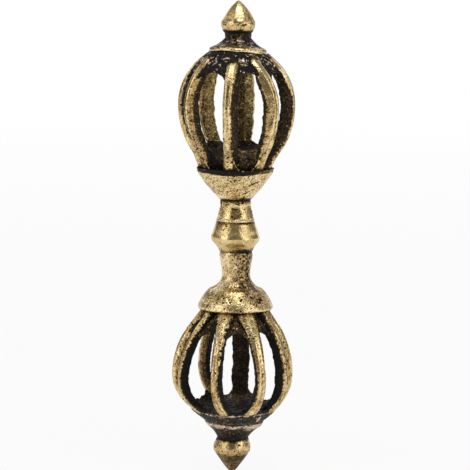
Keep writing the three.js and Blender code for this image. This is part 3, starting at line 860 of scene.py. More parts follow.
def crown_piece(half, seed):
    """The mass at the ribs' tips: a shoulder over them and a web with arched, ragged edges between them."""
    c = half.crown
    middle = half.bore_floor
    share = np.linspace(0, 1, CROWN_FLOOR_ROWS) ** 1.2
    radii, rows = web_rows(half, c, half.seat, half.tips - c.drop, (BORE_RADIUS, middle), share, seed)
    bore_r = np.full((BORE_ROWS, radii.shape[1]), BORE_RADIUS)
    bore_h = np.linspace(middle, half.seat, BORE_ROWS + 1)[1:, None] + 0 * bore_r
    radii, rows = np.vstack([radii, bore_r]), np.vstack([rows, bore_h])
    grid, normal, shown = web_grid(half, radii, rows, 0, BORE_ROWS, True)
    moved, pitted, wave, grain = weather(grid, normal, shown, SCALE, seed, c.ridges)

    outer = (np.arange(len(grid)) < WEB_ROWS)[:, None]
    torn = outer * np.max([gash(grid, m, seed + GASH_SEED + k) for k, m in enumerate(c.ridges)], axis=0)
    pitted = pitted * (torn == 0)
    height = half.up * grid[..., 2]
    tear = 0.12 * rough(grid, 0.5, seed + TEAR_SEED, 2)
    line = c.line * outer * bell(height + tear, half.seat - c.shelf - 0.3, 0.16)
    # Painted glints: pale coppery specks on the black crown, with its torn ridges and line painted bright
    speckle = rough(moved, 0.3, seed + SPECKLE_SEED, 2)
    spark = c.sparkle * ease(speckle + 0.35 * outer * bell(height, half.tips + 0.2, 0.5), 0.25, 0.7)
    spark = np.maximum(spark, np.maximum(ease(torn, 0.1, 0.5), line) * np.clip(0.6 + 0.8 * speckle, 0, 1))
    red = 2 * c.line * around(azimuth_of(grid), 173, 18) * bell(height, half.tips - 0.9, 0.7)
    red = red + c.line * outer * bell(height + tear, half.seat - 0.15, 0.3)
    rub = 0.06 + 0.1 * grain + 0.08 * wave - 0.2 * pitted + 0.8 * spark + 0.15 * red
    marks = {"rub": rub, "pit": pitted, "warm": 0.6 * spark + red, "pale": 0.7 * spark}
    return add_piece(f"{half.name}_crown", "blackened_brass", moved, True, marks)


def hub_piece(half, seed):
    """The mass at the ribs' feet: a web with hollowed edges between them, dished inside, and its peg."""
    c = half.hub
    base = half.floor + 0.15 - half.root
    rim = half.floor + c.height
    share = np.linspace(0, 1, HUB_FLOOR_ROWS)
    radii, rows = web_rows(half, c, base, rim, (0, rim - c.dish), share, seed)
    radii[-1] = POLE
    peg_end = half.floor - PEG.length
    under_r = np.array([POLE, PEG.radius, PEG.radius])[:, None] + np.zeros((1, radii.shape[1]))
    under_h = np.array([peg_end, peg_end, base])[:, None] + 0 * under_r
    radii, rows = np.vstack([under_r, radii]), np.vstack([under_h, rows])
    grid, normal, shown = web_grid(half, radii, rows, len(under_r), 1, False)
    moved, pitted, wave, grain = weather(grid, normal, shown, SCALE, seed)

    # Painted light: golden glints, a warmer lighter part facing the camera, and the lower hub lifted out of
    # its shade
    spark = ease(rough(moved, 0.4, seed + SPECKLE_SEED, 2), 0.4, 0.8)
    painted_front = around(azimuth_of(grid), 18, 22)
    low_part = 1 - ease(half.up * grid[..., 2], half.floor + 0.6, half.floor + 2.2)
    rub = 0.14 + 0.12 * painted_front + c.worn_and_lit * low_part + 0.12 * grain + 0.16 * wave - 0.2 * pitted + 0.5 * spark
    marks = {"rub": rub, "pit": pitted, "warm": 0.3 * painted_front}
    return add_piece(f"{half.name}_root_hub", "blackened_brass", moved, False, marks)


# Caps and finials

# Azimuths that the upper finial's facets face, and how far each lies from the axis for its cone
FACETS = (
    (8, 0.965), (56, 0.92), (100, 0.94), (142, 0.92), (184, 0.95), (230, 0.92), (274, 0.93), (317, 0.92),
)
ROUND_SHARE = 1.04  # how far the facets' corners stand for their cone


def uneven(half, height, reach, amount, seed):
    """A reshaping that moves a lip near one height up and down and in and out, by an amount."""

    def move(grid):
        azimuth = azimuth_of(grid)
        zone = bell(half.up * grid[..., 2], height, reach)
        out = grid.copy()
        out[..., 2] += amount * zone * ring_noise(azimuth, 2.5, seed) * half.up
        swell_out = 1 + 0.5 * amount * zone * ring_noise(azimuth, 1.1, seed + 5) / NOISE_RING
        out[..., :2] *= swell_out[..., None]
        return out

    return move


def cap_piece(half, seed):
    """The cone over a crown, with an uneven lip."""
    c = half.cap
    neck = (half.finial.neck_radius, half.neck)
    throat = (half.finial.neck_radius - 0.08, half.neck - c.throat)
    band = (half.lip_radius - c.lip_slope, half.seat + c.lip_height)
    lip = (half.lip_radius, half.seat + 0.08)
    seat = (half.lip_radius - 0.1, half.seat)
    outside = [*swell(neck, throat, 0), *swell(throat, band, -c.hollow)]
    outside += [*swell(band, lip, c.lip_swell), seat]
    inside = [seat, (BORE_RADIUS, half.seat), (BORE_RADIUS, half.neck), neck]

    def tone(grid, azimuth, height, wave, grain):
        rise = height - half.seat + 0.2 * ring_noise(azimuth, 1.8, seed + 11) - seat_lean(half, grid)
        worn_and_lit = np.clip(0.9 + 0.4 * ring_noise(azimuth, 1.6, seed + 7), 0.3, 1.1)
        thick = c.edge_width * (0.8 + 0.9 * around(azimuth, 48, 22) + 0.3 * around(azimuth, -40, 25))
        lower = bell(rise, c.edge_height, thick) * worn_and_lit
        upper = bell(rise, c.edge_height + 0.55, 0.13) * around(azimuth, 20, 50) * c.twin
        # Painted sheen: a grey sheen of pale specks on the cone above the lip, more of them facing the
        # camera
        painted_sheen = ease(rise, c.edge_height + 0.3, c.edge_height + 0.6) * (1 - 0.8 * ease(rise, 1.2, 2.0))
        speckle = rough(grid, 0.3, seed + SPECKLE_SEED, 2) + 0.25 * around(azimuth, 8, 30)
        spark = c.painted_sheen * painted_sheen * ease(speckle, 0, 0.5)
        rub = 0.1 + c.bright * lower + 0.7 * upper + 0.65 * spark
        return rub, c.pink * lower, np.maximum(0.7 * spark, (c.pink - 0.3) * lower)

    ragged = uneven(half, half.seat + c.lip_height * 0.4, c.lip_height, c.uneven, seed + 3)

    def reshape(grid):
        out = ragged(grid)
        out[..., 2] += seat_lean(half, grid)
        return out

    return turned_piece(
        f"{half.name}_cap", "cast_brass", outside, inside, seed, tone, (0.1, 0.08, 0.3), half.up,
        reshape=reshape, loop=True,
    )


def cut_facets(half):
    """Flattens the cone above a finial's drum into plane facets that meet at its tip."""
    base = half.neck + half.finial.drum_top

    def cut(grid):
        azimuth = azimuth_of(grid)
        share = ease(half.up * grid[..., 2], base - 0.1, base + 0.5)
        flat = np.full(azimuth.shape, ROUND_SHARE)
        for turn, place in FACETS:
            flat = np.minimum(flat, place / np.maximum(np.cos(np.radians(azimuth - turn)), 0.3))
        out = grid.copy()
        out[..., :2] *= (1 + share * (flat - 1))[..., None]
        return out

    return cut


def finial_piece(half, seed):
    """The bud at a tip: a drum under a cone, faceted at the upper end, and its tenon."""
    f = half.finial

    def at(radius, rise):
        return (radius, half.neck + rise)

    tip = at(f.tip_radius, half.end - half.neck - 0.03)
    drum = at(half.drum_radius, f.drum_top)
    foot = at(f.foot_radius, f.drum_foot)
    neck = at(f.neck_radius, 0)
    outside = [(POLE, half.end), tip, *swell(tip, drum, f.swell), *swell(drum, foot, 0.1), neck]
    tenon = BORE_RADIUS - PEG.gap
    inside = [neck, (tenon, half.neck), (tenon, half.bore_floor), (POLE, half.bore_floor)]

    def coarse(azimuth, height):
        rise = height - half.neck
        return 0.6 - 0.45 * ease(rise, f.drum_top - 0.2, f.drum_top + 0.4)

    def tone(grid, azimuth, height, wave, grain):
        rise = height - half.neck
        dark = 1 - ease(rise + 0.15 * wave + 0.15 * grain, f.dark_foot - 0.25, f.dark_foot + 0.25)
        # Painted shade: the lower finial's cone above its drum is darkened
        tip_part = ease(rise + 0.2 * wave, f.drum_top + 0.1, f.drum_top + 0.6)
        rub = 0.8 - 0.8 * dark + f.tip_painted_light * tip_part
        if not f.facets:
            # Painted reflection and shade: the drum is darker facing the camera and at both sides, and
            # darker towards its cone
            hollow = around(azimuth, -2, 12) + 0.5 * around(azimuth, 75, 25) + 0.5 * around(azimuth, -75, 25)
            rub = rub - 0.32 * hollow * (1 - ease(rise, f.drum_top - 0.6, f.drum_top))
            rub = rub - 0.2 * ease(rise, f.drum_top - 0.5, f.drum_top)
        cone = ease(rise, f.drum_top - 0.2, f.drum_top + 0.4)
        # Painted light: the facet facing the camera is brightened, those beside it darkened, with dark edges
        # by the bright one
        for turn, width, change in f.painted_light_patches:
            rub = rub + change * around(azimuth, turn, width) * cone
        return rub, 0.3 * bell(rise, f.drum_top - 0.6, 0.8)

    return turned_piece(
        f"{half.name}_finial", "polished_brass", outside, inside, seed, tone, (0.15, 0.15, 0.5), half.up,
        f.gashes, reshape=cut_facets(half) if f.facets else None, coarse=coarse,
    )


# Cups, collar and bead

def peg_socket(half):
    """The flat that a hub stands on and the blind socket for its peg, from the flat's edge inwards."""
    hole = PEG.radius + PEG.gap
    end = half.floor - PEG.length - PEG.gap
    return [(PEG.radius + PEG_SEAT, half.floor), (hole, half.floor), (hole, end), (POLE, end)]


def tang_bore(piece, outside):
    """The bore for the tang, from the last point of a turned piece's outline back to its first."""
    bore = TANG_RADIUS + TANG_GAP
    return [outside[-1], (bore, piece.foot), (bore, piece.top), outside[0]]


def upper_cup_piece(half, seed):
    """A flared bowl with a dark groove under its rim, which stands round the ribs' feet."""
    c = half.cup
    top = half.floor + 0.25
    wall = (c.wall_radius, half.start + c.wall_height)
    inside = peg_socket(half)
    outside = [
        *swell((c.foot_radius, half.start), wall, 0.15),
        *swell(wall, (c.rim_radius - 0.12, half.floor - 0.25), 0.05),
        (c.rim_radius - 0.2, half.floor - 0.15),
        (c.rim_radius, half.floor + 0.05),
        (c.rim_radius - 0.08, top),
        (c.rim_radius - c.rim_width, top - 0.05),
        (c.rim_radius - c.rim_width - 0.1, half.floor),
        inside[0],
    ]

    def tone(grid, azimuth, height, wave, grain):
        height = height + 0.12 * wave
        edge = half.floor - 0.3 - 0.3 * around(azimuth, -5, 35)
        groove = ease(height, edge - 0.12, edge + 0.1) * (1 - 0.6 * around(azimuth, 75, 40))
        line = bell(height, top - 0.05, 0.1) * np.clip(0.2 + ring_noise(azimuth, 1.2, seed + 12), 0, 1)
        foot = 1 - ease(height, half.start + 0.05, half.start + 0.45)
        gold = bell(height, half.start + 0.9, 0.5) * 0.15
        rub = 0.82 - 0.9 * groove + 0.5 * line - 0.7 * foot + gold
        return rub, 0.15 + 0 * rub

    def coarse(azimuth, height):
        pitted = around(azimuth, 0, 32) + around(azimuth, 170, 50)
        return 0.3 + 0.7 * pitted * ease(height, half.start + 0.8, half.start + 1.6)

    gashes = (
        mark(38, 9.0, 1.0, 0.16, 22, 0.18),
        mark(27, 7.4, 0.9, 0.14, 32, 0.16),
        mark(42, 8.0, 0.4, 0.1, 20, 0.1),
        mark(-70, 8.7, 0.6, 0.12, -35, 0.14),
        mark(-62, 7.3, 0.5, 0.12, -30, 0.14),
        mark(26, 6.5, 0.3, 0.2, 60, 0.12),
        mark(160, 8.3, 0.7, 0.14, 20, 0.12),
        mark(100, 7.9, 0.6, 0.12, -20, 0.12),
        mark(-130, 8.5, 0.7, 0.14, 15, 0.14),
    )
    return turned_piece(
        "upper_cup", "cast_brass", outside, inside, seed, tone, (0.25, 0.15, 0.75), half.up, gashes,
        reshape=uneven(half, half.floor, 0.6, 0.1, seed + 3), coarse=coarse,
    )


def lower_cup_piece(half, seed):
    """A dome on the handle's lower neck, which swells to a ring under the bead."""
    c = half.cup
    ring = (STEM.ring_radius, -BEAD.foot + STEM.ring_drop)
    waist = (STEM.waist_radius, half.start - STEM.waist_rise)
    throat = (c.throat_radius, half.start + c.throat_height)
    rim = (c.rim_radius, half.start + c.rim_height)
    inside = peg_socket(half)
    outside = [
        *swell((STEM.top_radius, -BEAD.foot), ring, 0.05),
        *swell(ring, waist, -0.06),
        *swell(waist, throat, -0.45),
        *swell(throat, rim, 0.22),
        *swell(rim, (c.face_radius, half.floor), 0.2),
        inside[0],
    ]

    def tone(grid, azimuth, height, wave, grain):
        rise = height - half.start
        right = around(azimuth, 40, 42)
        neck = 1 - ease(rise, 0.2, 1.6)
        seam = bell(height + 0.2 * wave, -BEAD.foot, 0.22) * (0.6 + 0.4 * right)
        under = ease(height + 0.15 * wave, half.floor - 0.25, half.floor)
        streaks = ring_noise(azimuth, 0.7, seed + 9) * bell(rise, 1.1, 0.8)
        shade = around(azimuth, 42, 14) * bell(rise, 2.9, 0.8)
        roll = ease(height, half.floor - 1.1, half.floor - 0.8) * (1 - around(azimuth, -28, 22))
        left = around(azimuth, -48, 25) * ease(rise, 1, 2)
        rub = 0.87 - 0.15 * left - 0.4 * right * neck - 0.6 * seam - 0.85 * under - 0.45 * shade - 0.2 * roll
        # Painted light: a highlight on the dome facing the camera, a darker band below it and a brighter
        # band near the rim
        painted_light = bell(rise, 3.4, 0.3) * around(azimuth, 3, 20) - 0.6 * bell(rise, 2.2, 0.6)
        painted_light = painted_light + bell(rise, 4.2, 0.25) * (1 - around(azimuth, 2, 12))
        return rub + 0.35 * painted_light + 0.65 * streaks, 0.15 + 0.2 * (1 - right) * neck

    def coarse(azimuth, height):
        cup = ease(height, half.start + 0.4, half.start + 1.4)
        dense = around(azimuth, 10, 38) + around(azimuth, 175, 50)
        return 0.2 + 0.8 * np.clip(dense * cup + (1 - cup) * around(azimuth, 50, 45), 0, 1)

    gashes = (
        mark(24, -7.3, 0.1, 0.5, 8, 0.06),
        mark(38, -7.6, 0.1, 0.6, -8, 0.06),
        mark(48, -9.4, 0.4, 0.2, -12, 0.08),
        mark(8, -10.9, 0.3, 0.2, 10, 0.1),
        mark(-50, -10.5, 0.5, 0.12, 30, 0.08),
        mark(150, -10.6, 0.6, 0.14, 25, 0.12),
    )
    ragged = uneven(half, half.start + c.rim_height, 0.7, 0.14, seed + 3)

    def reshape(grid):
        azimuth = azimuth_of(grid)
        height = -grid[..., 2]
        out = ragged(grid)
        lift = c.rim_lift * (0.6 + 0.4 * around(azimuth, 0, 60))
        out[..., 2] += lift * ease(height, half.start + 2, half.floor)
        fluted = bell(height, half.start + 0.9, 0.7) * ring_noise(azimuth, 0.7, seed + 9)
        out[..., :2] *= (1 + 0.025 * fluted)[..., None]
        return out

    return turned_piece(
        "lower_cup", "cast_brass", outside, inside, seed, tone, (0.35, 0.15, 0.7), half.up, gashes,
        reshape=reshape, coarse=coarse,
    )


def collar_piece(seed):
    """A short neck on a flared cone, with a turned step between them."""
    c = COLLAR
    top = (c.neck_radius - 0.08, c.top)
    neck = (c.neck_radius, c.top - c.neck_length)
    shoulder = (c.radius - 0.14, c.foot + 0.55)
    step = c.top - c.neck_length + 0.05
    outside = [
        top,
        *swell(top, neck, 0.1),
        (c.neck_radius + 0.06, step - 0.1),
        *swell((c.neck_radius + 0.02, step - 0.2), shoulder, 0.04),
        *swell(shoulder, (c.radius - 0.06, c.foot), 0.16),
    ]

    def tone(grid, azimuth, height, wave, grain):
        height = height + 0.08 * wave
        turn = azimuth + 8 * wave
        strokes = 0.08 * np.sin(9 * height + 2 * wave)
        seam = bell(height, c.top, 0.4) + bell(height, c.foot - 0.05, 0.14)
        cone = ease(height, c.foot + 0.5, c.foot + 0.65) * (1 - ease(height, step - 0.35, step - 0.15))
        # Painted reflection: the cone is darker where it faces the camera and reflects the dark room, and in
        # a band at azimuth 72
        painted_front = ease(turn, -20, -12) * (1 - ease(turn, 14, 22)) + around(azimuth, 72, 10)
        upper = bell(height, c.top - 0.6, 0.3) * around(azimuth, 12, 9)
        ring = bell(height - 0.002 * azimuth, step, 0.1) * around(azimuth, 20, 40)
        edge = bell(height, c.foot + 0.3, 0.16)
        # Painted reflections of the lamps: bright bands on the cone either side of the dark middle
        bright = (around(azimuth, -32, 10) + around(azimuth, 34, 10)) * cone
        rub = 0.84 + 0.15 * bright - 0.65 * seam - (0.42 + strokes) * painted_front * cone
        return rub - 0.5 * upper + 0.3 * ring + 0.1 * edge, 0.4 * edge

    def coarse(azimuth, height):
        return 0.12 + 0.88 * (around(azimuth, -66, 22) + around(azimuth, 150, 60))

    gashes = (
        mark(-2, 4.8, 0.6, 0.09, -8, 0.1),
        mark(-34, 5.4, 0.18, 0.12, 20, 0.1),
        mark(28, 5.75, 0.3, 0.2, 40, 0.12),
        mark(36, 4.75, 0.3, 0.12, 20, 0.1),
        mark(-48, 4.2, 0.3, 0.12, 30, 0.1),
        mark(-64, 5.3, 0.5, 0.14, 70, 0.08),
        mark(150, 4.0, 0.6, 0.3, 20, 0.08),
    )
    return turned_piece(
        "handle_collar", "cast_brass", outside, tang_bore(c, outside), seed, tone, (0.15, 0.12, 0.6),
        gashes=gashes, coarse=coarse, loop=True,
    )


def bead_piece(seed):
    """A bead with a ridge round it, rubbed bright by hands."""
    b = BEAD
    ridge = (b.radius, 0)
    upper_edge = (b.radius - 0.28, 0.36 * b.top)
    lower_edge = (b.radius - 0.5, 0.42 * b.foot)
    outside = [
        *swell((b.top_radius, b.top), upper_edge, -0.05),
        *swell(upper_edge, ridge, 0.05),
        *swell(ridge, lower_edge, 0.08),
        *swell(lower_edge, (b.foot_radius, b.foot), -0.08),
    ]

    def tone(grid, azimuth, height, wave, grain):
        height = height + 0.1 * wave
        jagged = height + 0.12 * ring_noise(azimuth, 0.5, seed + 8)
        open_side = 0.4 + 0.6 * around(azimuth, 35, 30)
        crack = bell(jagged, b.top - 0.15, 0.16) * open_side
        seam = bell(jagged, b.foot, 0.35) * open_side
        # Painted shade: darker on the lower cone facing the camera, and along a line down the right of the
        # lower half
        painted_shade = around(azimuth, 5, 22) * bell(height, b.foot + 0.5, 0.5)
        painted_shade = painted_shade + around(azimuth, 84, 12) * (height < -0.2)
        dirty = around(azimuth, -48, 22) * ease(height, 1.2, 1.7)
        below = 1 - ease(height, -0.4, 0.1)
        # Painted highlight: a small bright spot under the crack
        painted_light = bell(jagged, b.top - 0.5, 0.12) * around(azimuth, 8, 12)
        rub = 0.84 + 0.4 * painted_light - 0.8 * crack - 0.8 * seam - 0.3 * painted_shade - 0.3 * dirty - 0.08 * below
        return rub, 0.25 * around(azimuth, -62, 14) * bell(height, 0.4, 0.5)

    def coarse(azimuth, height):
        left = around(azimuth, -35, 28) * ease(height, 0.9, 1.6)
        foot = 0.6 * (1 - ease(height, b.foot, b.foot + 0.8))
        behind = around(azimuth, 140, 40) * ease(height, 0.6, 1.4)
        return 0.08 + 0.92 * np.clip(left + foot + behind, 0, 1)

    return turned_piece(
        "handle_bead", "polished_brass", outside, tang_bore(b, outside), seed, tone, (0.1, 0.1, 0.6),
        coarse=coarse, loop=True, rounding=5,
    )


# Materials

SOOT = (0.006, 0.005, 0.004)
BROWN = (0.115, 0.07, 0.025)
BRASS = (0.43, 0.295, 0.115)
GOLD = (0.72, 0.54, 0.25)
BRIGHT = (0.9, 0.75, 0.42)
COPPER = (0.66, 0.42, 0.32)
PALE = (0.85, 0.76, 0.72)
PATINA = [(0.1, SOOT), (0.3, BROWN), (0.55, BRASS), (0.85, GOLD), (1.0, BRIGHT)]
# How rubbed a surface is, with the light and shade painted into that value, where a ramp starts and
# where it ends, with what the ramp gives there
QUIET = [(0.1, 0.3), (0.45, 1.0)]  # how much its colour varies: less where it is dirty
METALLIC = [(0.1, 0.1), (0.4, 1.0)]
DIRTY_ROUGHNESS = (0.1, 0.6)
SHINY_PLACE = 0.9  # how rubbed it is where it is as smooth as it gets
PIT_DIRT = 0.25  # how much less rubbed a pit is
COPPER_SHARE = 0.6  # how much of a coppery spot is copper
SPECULAR = 0.2
BROAD_SCALE = 800  # blotches in a metre
FINE_SCALE = 3600  # specks in a metre
RELIEF_HEIGHT = 0.0001  # in metres


def grey(value):
    return (value, value, value)


class Graph:
    """The nodes of a material or a world, with a short way to add each kind that is used here."""

    def __init__(self, owner):
        owner.use_nodes = True
        self.nodes = owner.node_tree.nodes
        self.link = owner.node_tree.links.new

    def fill(self, socket, value):
        """Gives a socket a number or a colour of its own, or another socket's value."""
        if isinstance(value, tuple):
            socket.default_value = (*value, 1)
        elif isinstance(value, (int, float)):
            socket.default_value = value
        else:
            self.link(value, socket)

    def noise(self, coords, scale, detail):
        node = self.nodes.new("ShaderNodeTexNoise")
        for key, value in (("Scale", scale), ("Detail", detail), ("Vector", coords)):
            self.fill(node.inputs[key], value)
        return node.outputs["Fac"]

    def math(self, operation, a, b):
        node = self.nodes.new("ShaderNodeMath")
        node.operation = operation
        self.fill(node.inputs[0], a)
        self.fill(node.inputs[1], b)
        return node.outputs[0]

    def mix(self, factor, a, b):
        node = self.nodes.new("ShaderNodeMix")
        node.data_type = "RGBA"
        self.link(factor, node.inputs["Factor"])
        colours = [socket for socket in node.inputs if socket.type == "RGBA"]
        self.fill(colours[0], a)
        self.fill(colours[1], b)
        return [socket for socket in node.outputs if socket.type == "RGBA"][0]

    def ramp(self, factor, stops):
        node = self.nodes.new("ShaderNodeValToRGB")
        elements = node.color_ramp.elements
        while len(elements) < len(stops):
            elements.new(0.5)
        for element, (place, colour) in zip(elements, stops):
            element.position = place
            element.color = (*colour, 1)
        self.link(factor, node.inputs["Fac"])
        return node.outputs["Color"]

    def level(self, factor, stops):
        """A ramp of numbers instead of colours."""
        return self.ramp(factor, [(place, grey(value)) for place, value in stops])


def brass(name, mottle, grain, bump, shine):
    """Old brass: black in its hollows, brown where half rubbed and golden where hands have rubbed it, and
    lighter or darker where light and shade are painted into the value it reads. `mottle` and `grain` are
    how much its colour varies over a millimetre and over a pit, `shine` its smoothest roughness."""
    material = bpy.data.materials.new(name)
    graph = Graph(material)
    shader = graph.nodes["Principled BSDF"]
    coords = graph.nodes.new("ShaderNodeTexCoord").outputs["Object"]

    def attribute(key):
        node = graph.nodes.new("ShaderNodeAttribute")
        node.attribute_name = key
        return node.outputs["Fac"]

    def varied(scale, detail, amount):
        centred = graph.math("SUBTRACT", graph.noise(coords, scale, detail), 0.5)
        return graph.math("MULTIPLY", centred, amount)

    rub, pit, warm, pale = (attribute(key) for key in ("rub", "pit", "warm", "pale"))
    fine = varied(FINE_SCALE, 2, 1.0)
    blotches = graph.math("ADD", varied(BROAD_SCALE, 4, mottle), graph.math("MULTIPLY", fine, grain))
    quiet = graph.level(rub, QUIET)
    worn_and_lit = graph.math("ADD", rub, graph.math("MULTIPLY", blotches, quiet))
    worn_and_lit = graph.math("SUBTRACT", worn_and_lit, graph.math("MULTIPLY", pit, PIT_DIRT))
    colour = graph.ramp(worn_and_lit, PATINA)
    colour = graph.mix(graph.math("MULTIPLY", warm, COPPER_SHARE), colour, graph.mix(worn_and_lit, SOOT, COPPER))
    colour = graph.mix(pale, colour, graph.mix(worn_and_lit, SOOT, PALE))
    relief = graph.nodes.new("ShaderNodeBump")
    relief.inputs["Strength"].default_value = bump
    relief.inputs["Distance"].default_value = RELIEF_HEIGHT
    graph.link(fine, relief.inputs["Height"])
    graph.link(colour, shader.inputs["Base Color"])
    graph.link(graph.level(worn_and_lit, METALLIC), shader.inputs["Metallic"])
    graph.link(graph.level(worn_and_lit, [DIRTY_ROUGHNESS, (SHINY_PLACE, shine)]), shader.inputs["Roughness"])
    graph.link(relief.outputs["Normal"], shader.inputs["Normal"])
    shader.inputs["Specular IOR Level"].default_value = SPECULAR
    return material


MATERIALS = {
    "polished_brass": brass("polished_brass_old", mottle=0.3, grain=0.75, bump=0.15, shine=0.2),
    "rib_brass": brass("rib_brass_old", mottle=0.6, grain=1.25, bump=0.5, shine=0.18),
    "cast_brass": brass("cast_brass_old", mottle=0.6, grain=1.6, bump=0.7, shine=0.22),
    "blackened_brass": brass("blackened_brass_old", mottle=0.5, grain=1.6, bump=0.8, shine=0.35),
}


# The whole object

UPPER_SEED, LOWER_SEED, HANDLE_SEED = 100, 5000, 9000
PIECE_SEED = 100  # from one piece's seed to the next, so that each has noise of its own


def build_object():
    for half, cup, first in ((UPPER, upper_cup_piece, UPPER_SEED), (LOWER, lower_cup_piece, LOWER_SEED)):
        seeds = [first + PIECE_SEED * k for k in range(15)]
        cup(half, seeds[0])
        hub_piece(half, seeds[1])
        for number in range(1, len(half.ribs) + 1):
            rib_piece(half, number, seeds[2 + number])
        crown_piece(half, seeds[12])
        cap_piece(half, seeds[13])
        finial_piece(half, seeds[14])
    collar_piece(HANDLE_SEED)
    bead_piece(HANDLE_SEED + PIECE_SEED)


# Stage, in metres

FLOOR_Z = cad_low.z
STAGE_RADIUS = 1.1
STAGE_STEPS = 48
WALL_HEIGHT = 0.95
WALL_SHARE = 0.98  # its radius as a share of the floor's
WALL_ENDS = (80, 280)  # azimuths, so that it is open in front
WHITE_SHADE = 0.85
NEAR_GLOW = 0.92  # how much of the floor's white is its own next to the object
FULL_GLOW = 0.9  # how far from the object all of it is
CARD_DISTANCE = 0.75
CARD_LOW, CARD_HIGH = 0.02, 0.33  # above the floor
CARD_STEPS = 12
CARD_COLOUR = (0.5, 0.45, 0.36)
CARD_ROUGHNESS = 0.9
CARDS = (("left_card", -138, -84), ("right_card", 84, 138))  # name, and the azimuths of both ends
# Name, azimuth, elevation, distance, width, height and brightness of each lamp
LAMPS = (
    ("left_softbox", -55, 13, 0.7, 0.5, 0.8, 1.0),
    ("right_softbox", 55, 13, 0.7, 0.5, 0.8, 1.0),
    ("top_softbox", 0, 71, 0.6, 0.4, 0.3, 1.7),
)
LAMP_POWER = 4  # in watts, for a square metre of brightness 1
# How high in the room, and its colour there
ROOM = [(0.1, (0.17, 0.16, 0.14)), (0.7, (0.2, 0.2, 0.18)), (0.97, (0.6, 0.6, 0.6))]
CAMERA_PLACE = Vector((0, -0.322, 0.042))
CAMERA_AIM = Vector((-0.00003, 0, 0.00038))
CAMERA_LENS = 157.2  # in millimetres, as is the sensor
SENSOR_WIDTH = 36
CAMERA_ROLL = math.radians(0.82)


def white_shader(name, near_glow):
    """A white surface that camera and reflections see bright, and that takes the object's shadow near it."""
    material = bpy.data.materials.new(name)
    graph = Graph(material)
    nodes = graph.nodes
    nodes.clear()
    diffuse = nodes.new("ShaderNodeBsdfDiffuse")
    diffuse.inputs["Color"].default_value = (*grey(WHITE_SHADE), 1)
    emission = nodes.new("ShaderNodeEmission")
    path = nodes.new("ShaderNodeLightPath")
    seen = graph.math("MAXIMUM", path.outputs["Is Camera Ray"], path.outputs["Is Glossy Ray"])
    seen = graph.math("MAXIMUM", seen, path.outputs["Is Transmission Ray"])
    away = nodes.new("ShaderNodeVectorMath")
    away.operation = "LENGTH"
    graph.link(nodes.new("ShaderNodeNewGeometry").outputs["Position"], away.inputs[0])
    glow = nodes.new("ShaderNodeMapRange")
    glow.interpolation_type = "SMOOTHSTEP"
    for key, value in (("From Min", 0.0), ("From Max", FULL_GLOW), ("To Min", near_glow), ("To Max", 1.0)):
        glow.inputs[key].default_value = value
    graph.link(away.outputs["Value"], glow.inputs["Value"])
    mix = nodes.new("ShaderNodeMixShader")
    graph.link(graph.math("MULTIPLY", seen, glow.outputs["Result"]), mix.inputs["Fac"])
    graph.link(diffuse.outputs[0], mix.inputs[1])
    graph.link(emission.outputs[0], mix.inputs[2])
    graph.link(mix.outputs[0], nodes.new("ShaderNodeOutputMaterial").inputs["Surface"])
    return material


def add_backdrop(name, points, faces, material):
    """A surface of the studio, which isn't part of the object."""
    mesh = bpy.data.meshes.new(name)
    mesh.from_pydata(points, [], faces)
    mesh.materials.append(material)
    backdrop = bpy.data.objects.new(name, mesh)
    bpy.context.scene.collection.objects.link(backdrop)
    return backdrop


def arc_points(radius, start, end, steps, heights):
    """Points on an upright arc round the object, one row for each height."""
    turns = [math.radians(start + (end - start) * k / steps) for k in range(steps + 1)]
    return [(radius * math.sin(a), -radius * math.cos(a), h) for h in heights for a in turns]


def arc_faces(steps):
    n = steps + 1
    return [(k, k + 1, n + k + 1, n + k) for k in range(steps)]


def add_floor():
    points = arc_points(STAGE_RADIUS, 0, 360, STAGE_STEPS, [FLOOR_Z])[:STAGE_STEPS]
    add_backdrop("studio_floor", points, [list(range(STAGE_STEPS))], white_shader("white_floor", NEAR_GLOW))


def add_wall():
    """A wall behind and beside the object."""
    points = arc_points(STAGE_RADIUS * WALL_SHARE, *WALL_ENDS, STAGE_STEPS, [FLOOR_Z, FLOOR_Z + WALL_HEIGHT])
    add_backdrop("studio_wall", points, arc_faces(STAGE_STEPS), white_shader("white_wall", 1.0))


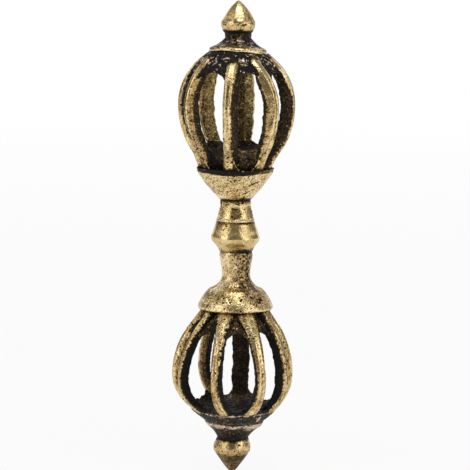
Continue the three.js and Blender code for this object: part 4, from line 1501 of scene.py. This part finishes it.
def add_card(name, start, end):
    """A warm grey card beside the object, which only its reflections and the light see, not the camera."""
    material = bpy.data.materials.new(name)
    shader = Graph(material).nodes["Principled BSDF"]
    shader.inputs["Base Color"].default_value = (*CARD_COLOUR, 1)
    shader.inputs["Roughness"].default_value = CARD_ROUGHNESS
    points = arc_points(CARD_DISTANCE, start, end, CARD_STEPS, [FLOOR_Z + CARD_LOW, FLOOR_Z + CARD_HIGH])
    card = add_backdrop(name, points, arc_faces(CARD_STEPS), material)
    card.visible_camera = False


def add_light(name, azimuth, elevation, distance, width, height, brightness):
    """A soft rectangular light that faces the object."""
    data = bpy.data.lights.new(name, "AREA")
    data.shape = "RECTANGLE"
    data.size, data.size_y = width, height
    data.energy = LAMP_POWER * width * height * brightness
    light = bpy.data.objects.new(name, data)
    a, e = math.radians(azimuth), math.radians(elevation)
    away = Vector((math.sin(a) * math.cos(e), -math.cos(a) * math.cos(e), math.sin(e)))
    light.location = away * distance
    light.rotation_euler = away.to_track_quat("Z", "Y").to_euler()
    light.visible_camera = False
    bpy.context.scene.collection.objects.link(light)


def add_world():
    """A dim room, a little brighter overhead."""
    world = bpy.data.worlds.new("studio_room")
    bpy.context.scene.world = world
    graph = Graph(world)
    split = graph.nodes.new("ShaderNodeSeparateXYZ")
    graph.link(graph.nodes.new("ShaderNodeTexCoord").outputs["Generated"], split.inputs[0])
    graph.link(graph.ramp(split.outputs["Z"], ROOM), graph.nodes["Background"].inputs["Color"])


def add_camera():
    data = bpy.data.cameras.new("camera")
    data.lens = CAMERA_LENS
    data.sensor_width = SENSOR_WIDTH
    camera = bpy.data.objects.new("camera", data)
    camera.location = CAMERA_PLACE
    turn = (CAMERA_AIM - CAMERA_PLACE).to_track_quat("-Z", "Y").to_matrix()
    camera.rotation_euler = (turn @ Matrix.Rotation(CAMERA_ROLL, 3, "Z")).to_euler()
    bpy.context.scene.collection.objects.link(camera)
    bpy.context.scene.camera = camera


build_object()
add_floor()
add_wall()
for card in CARDS:
    add_card(*card)
for lamp in LAMPS:
    add_light(*lamp)
add_world()
add_camera()
bpy.context.scene.view_settings.view_transform = "Standard"
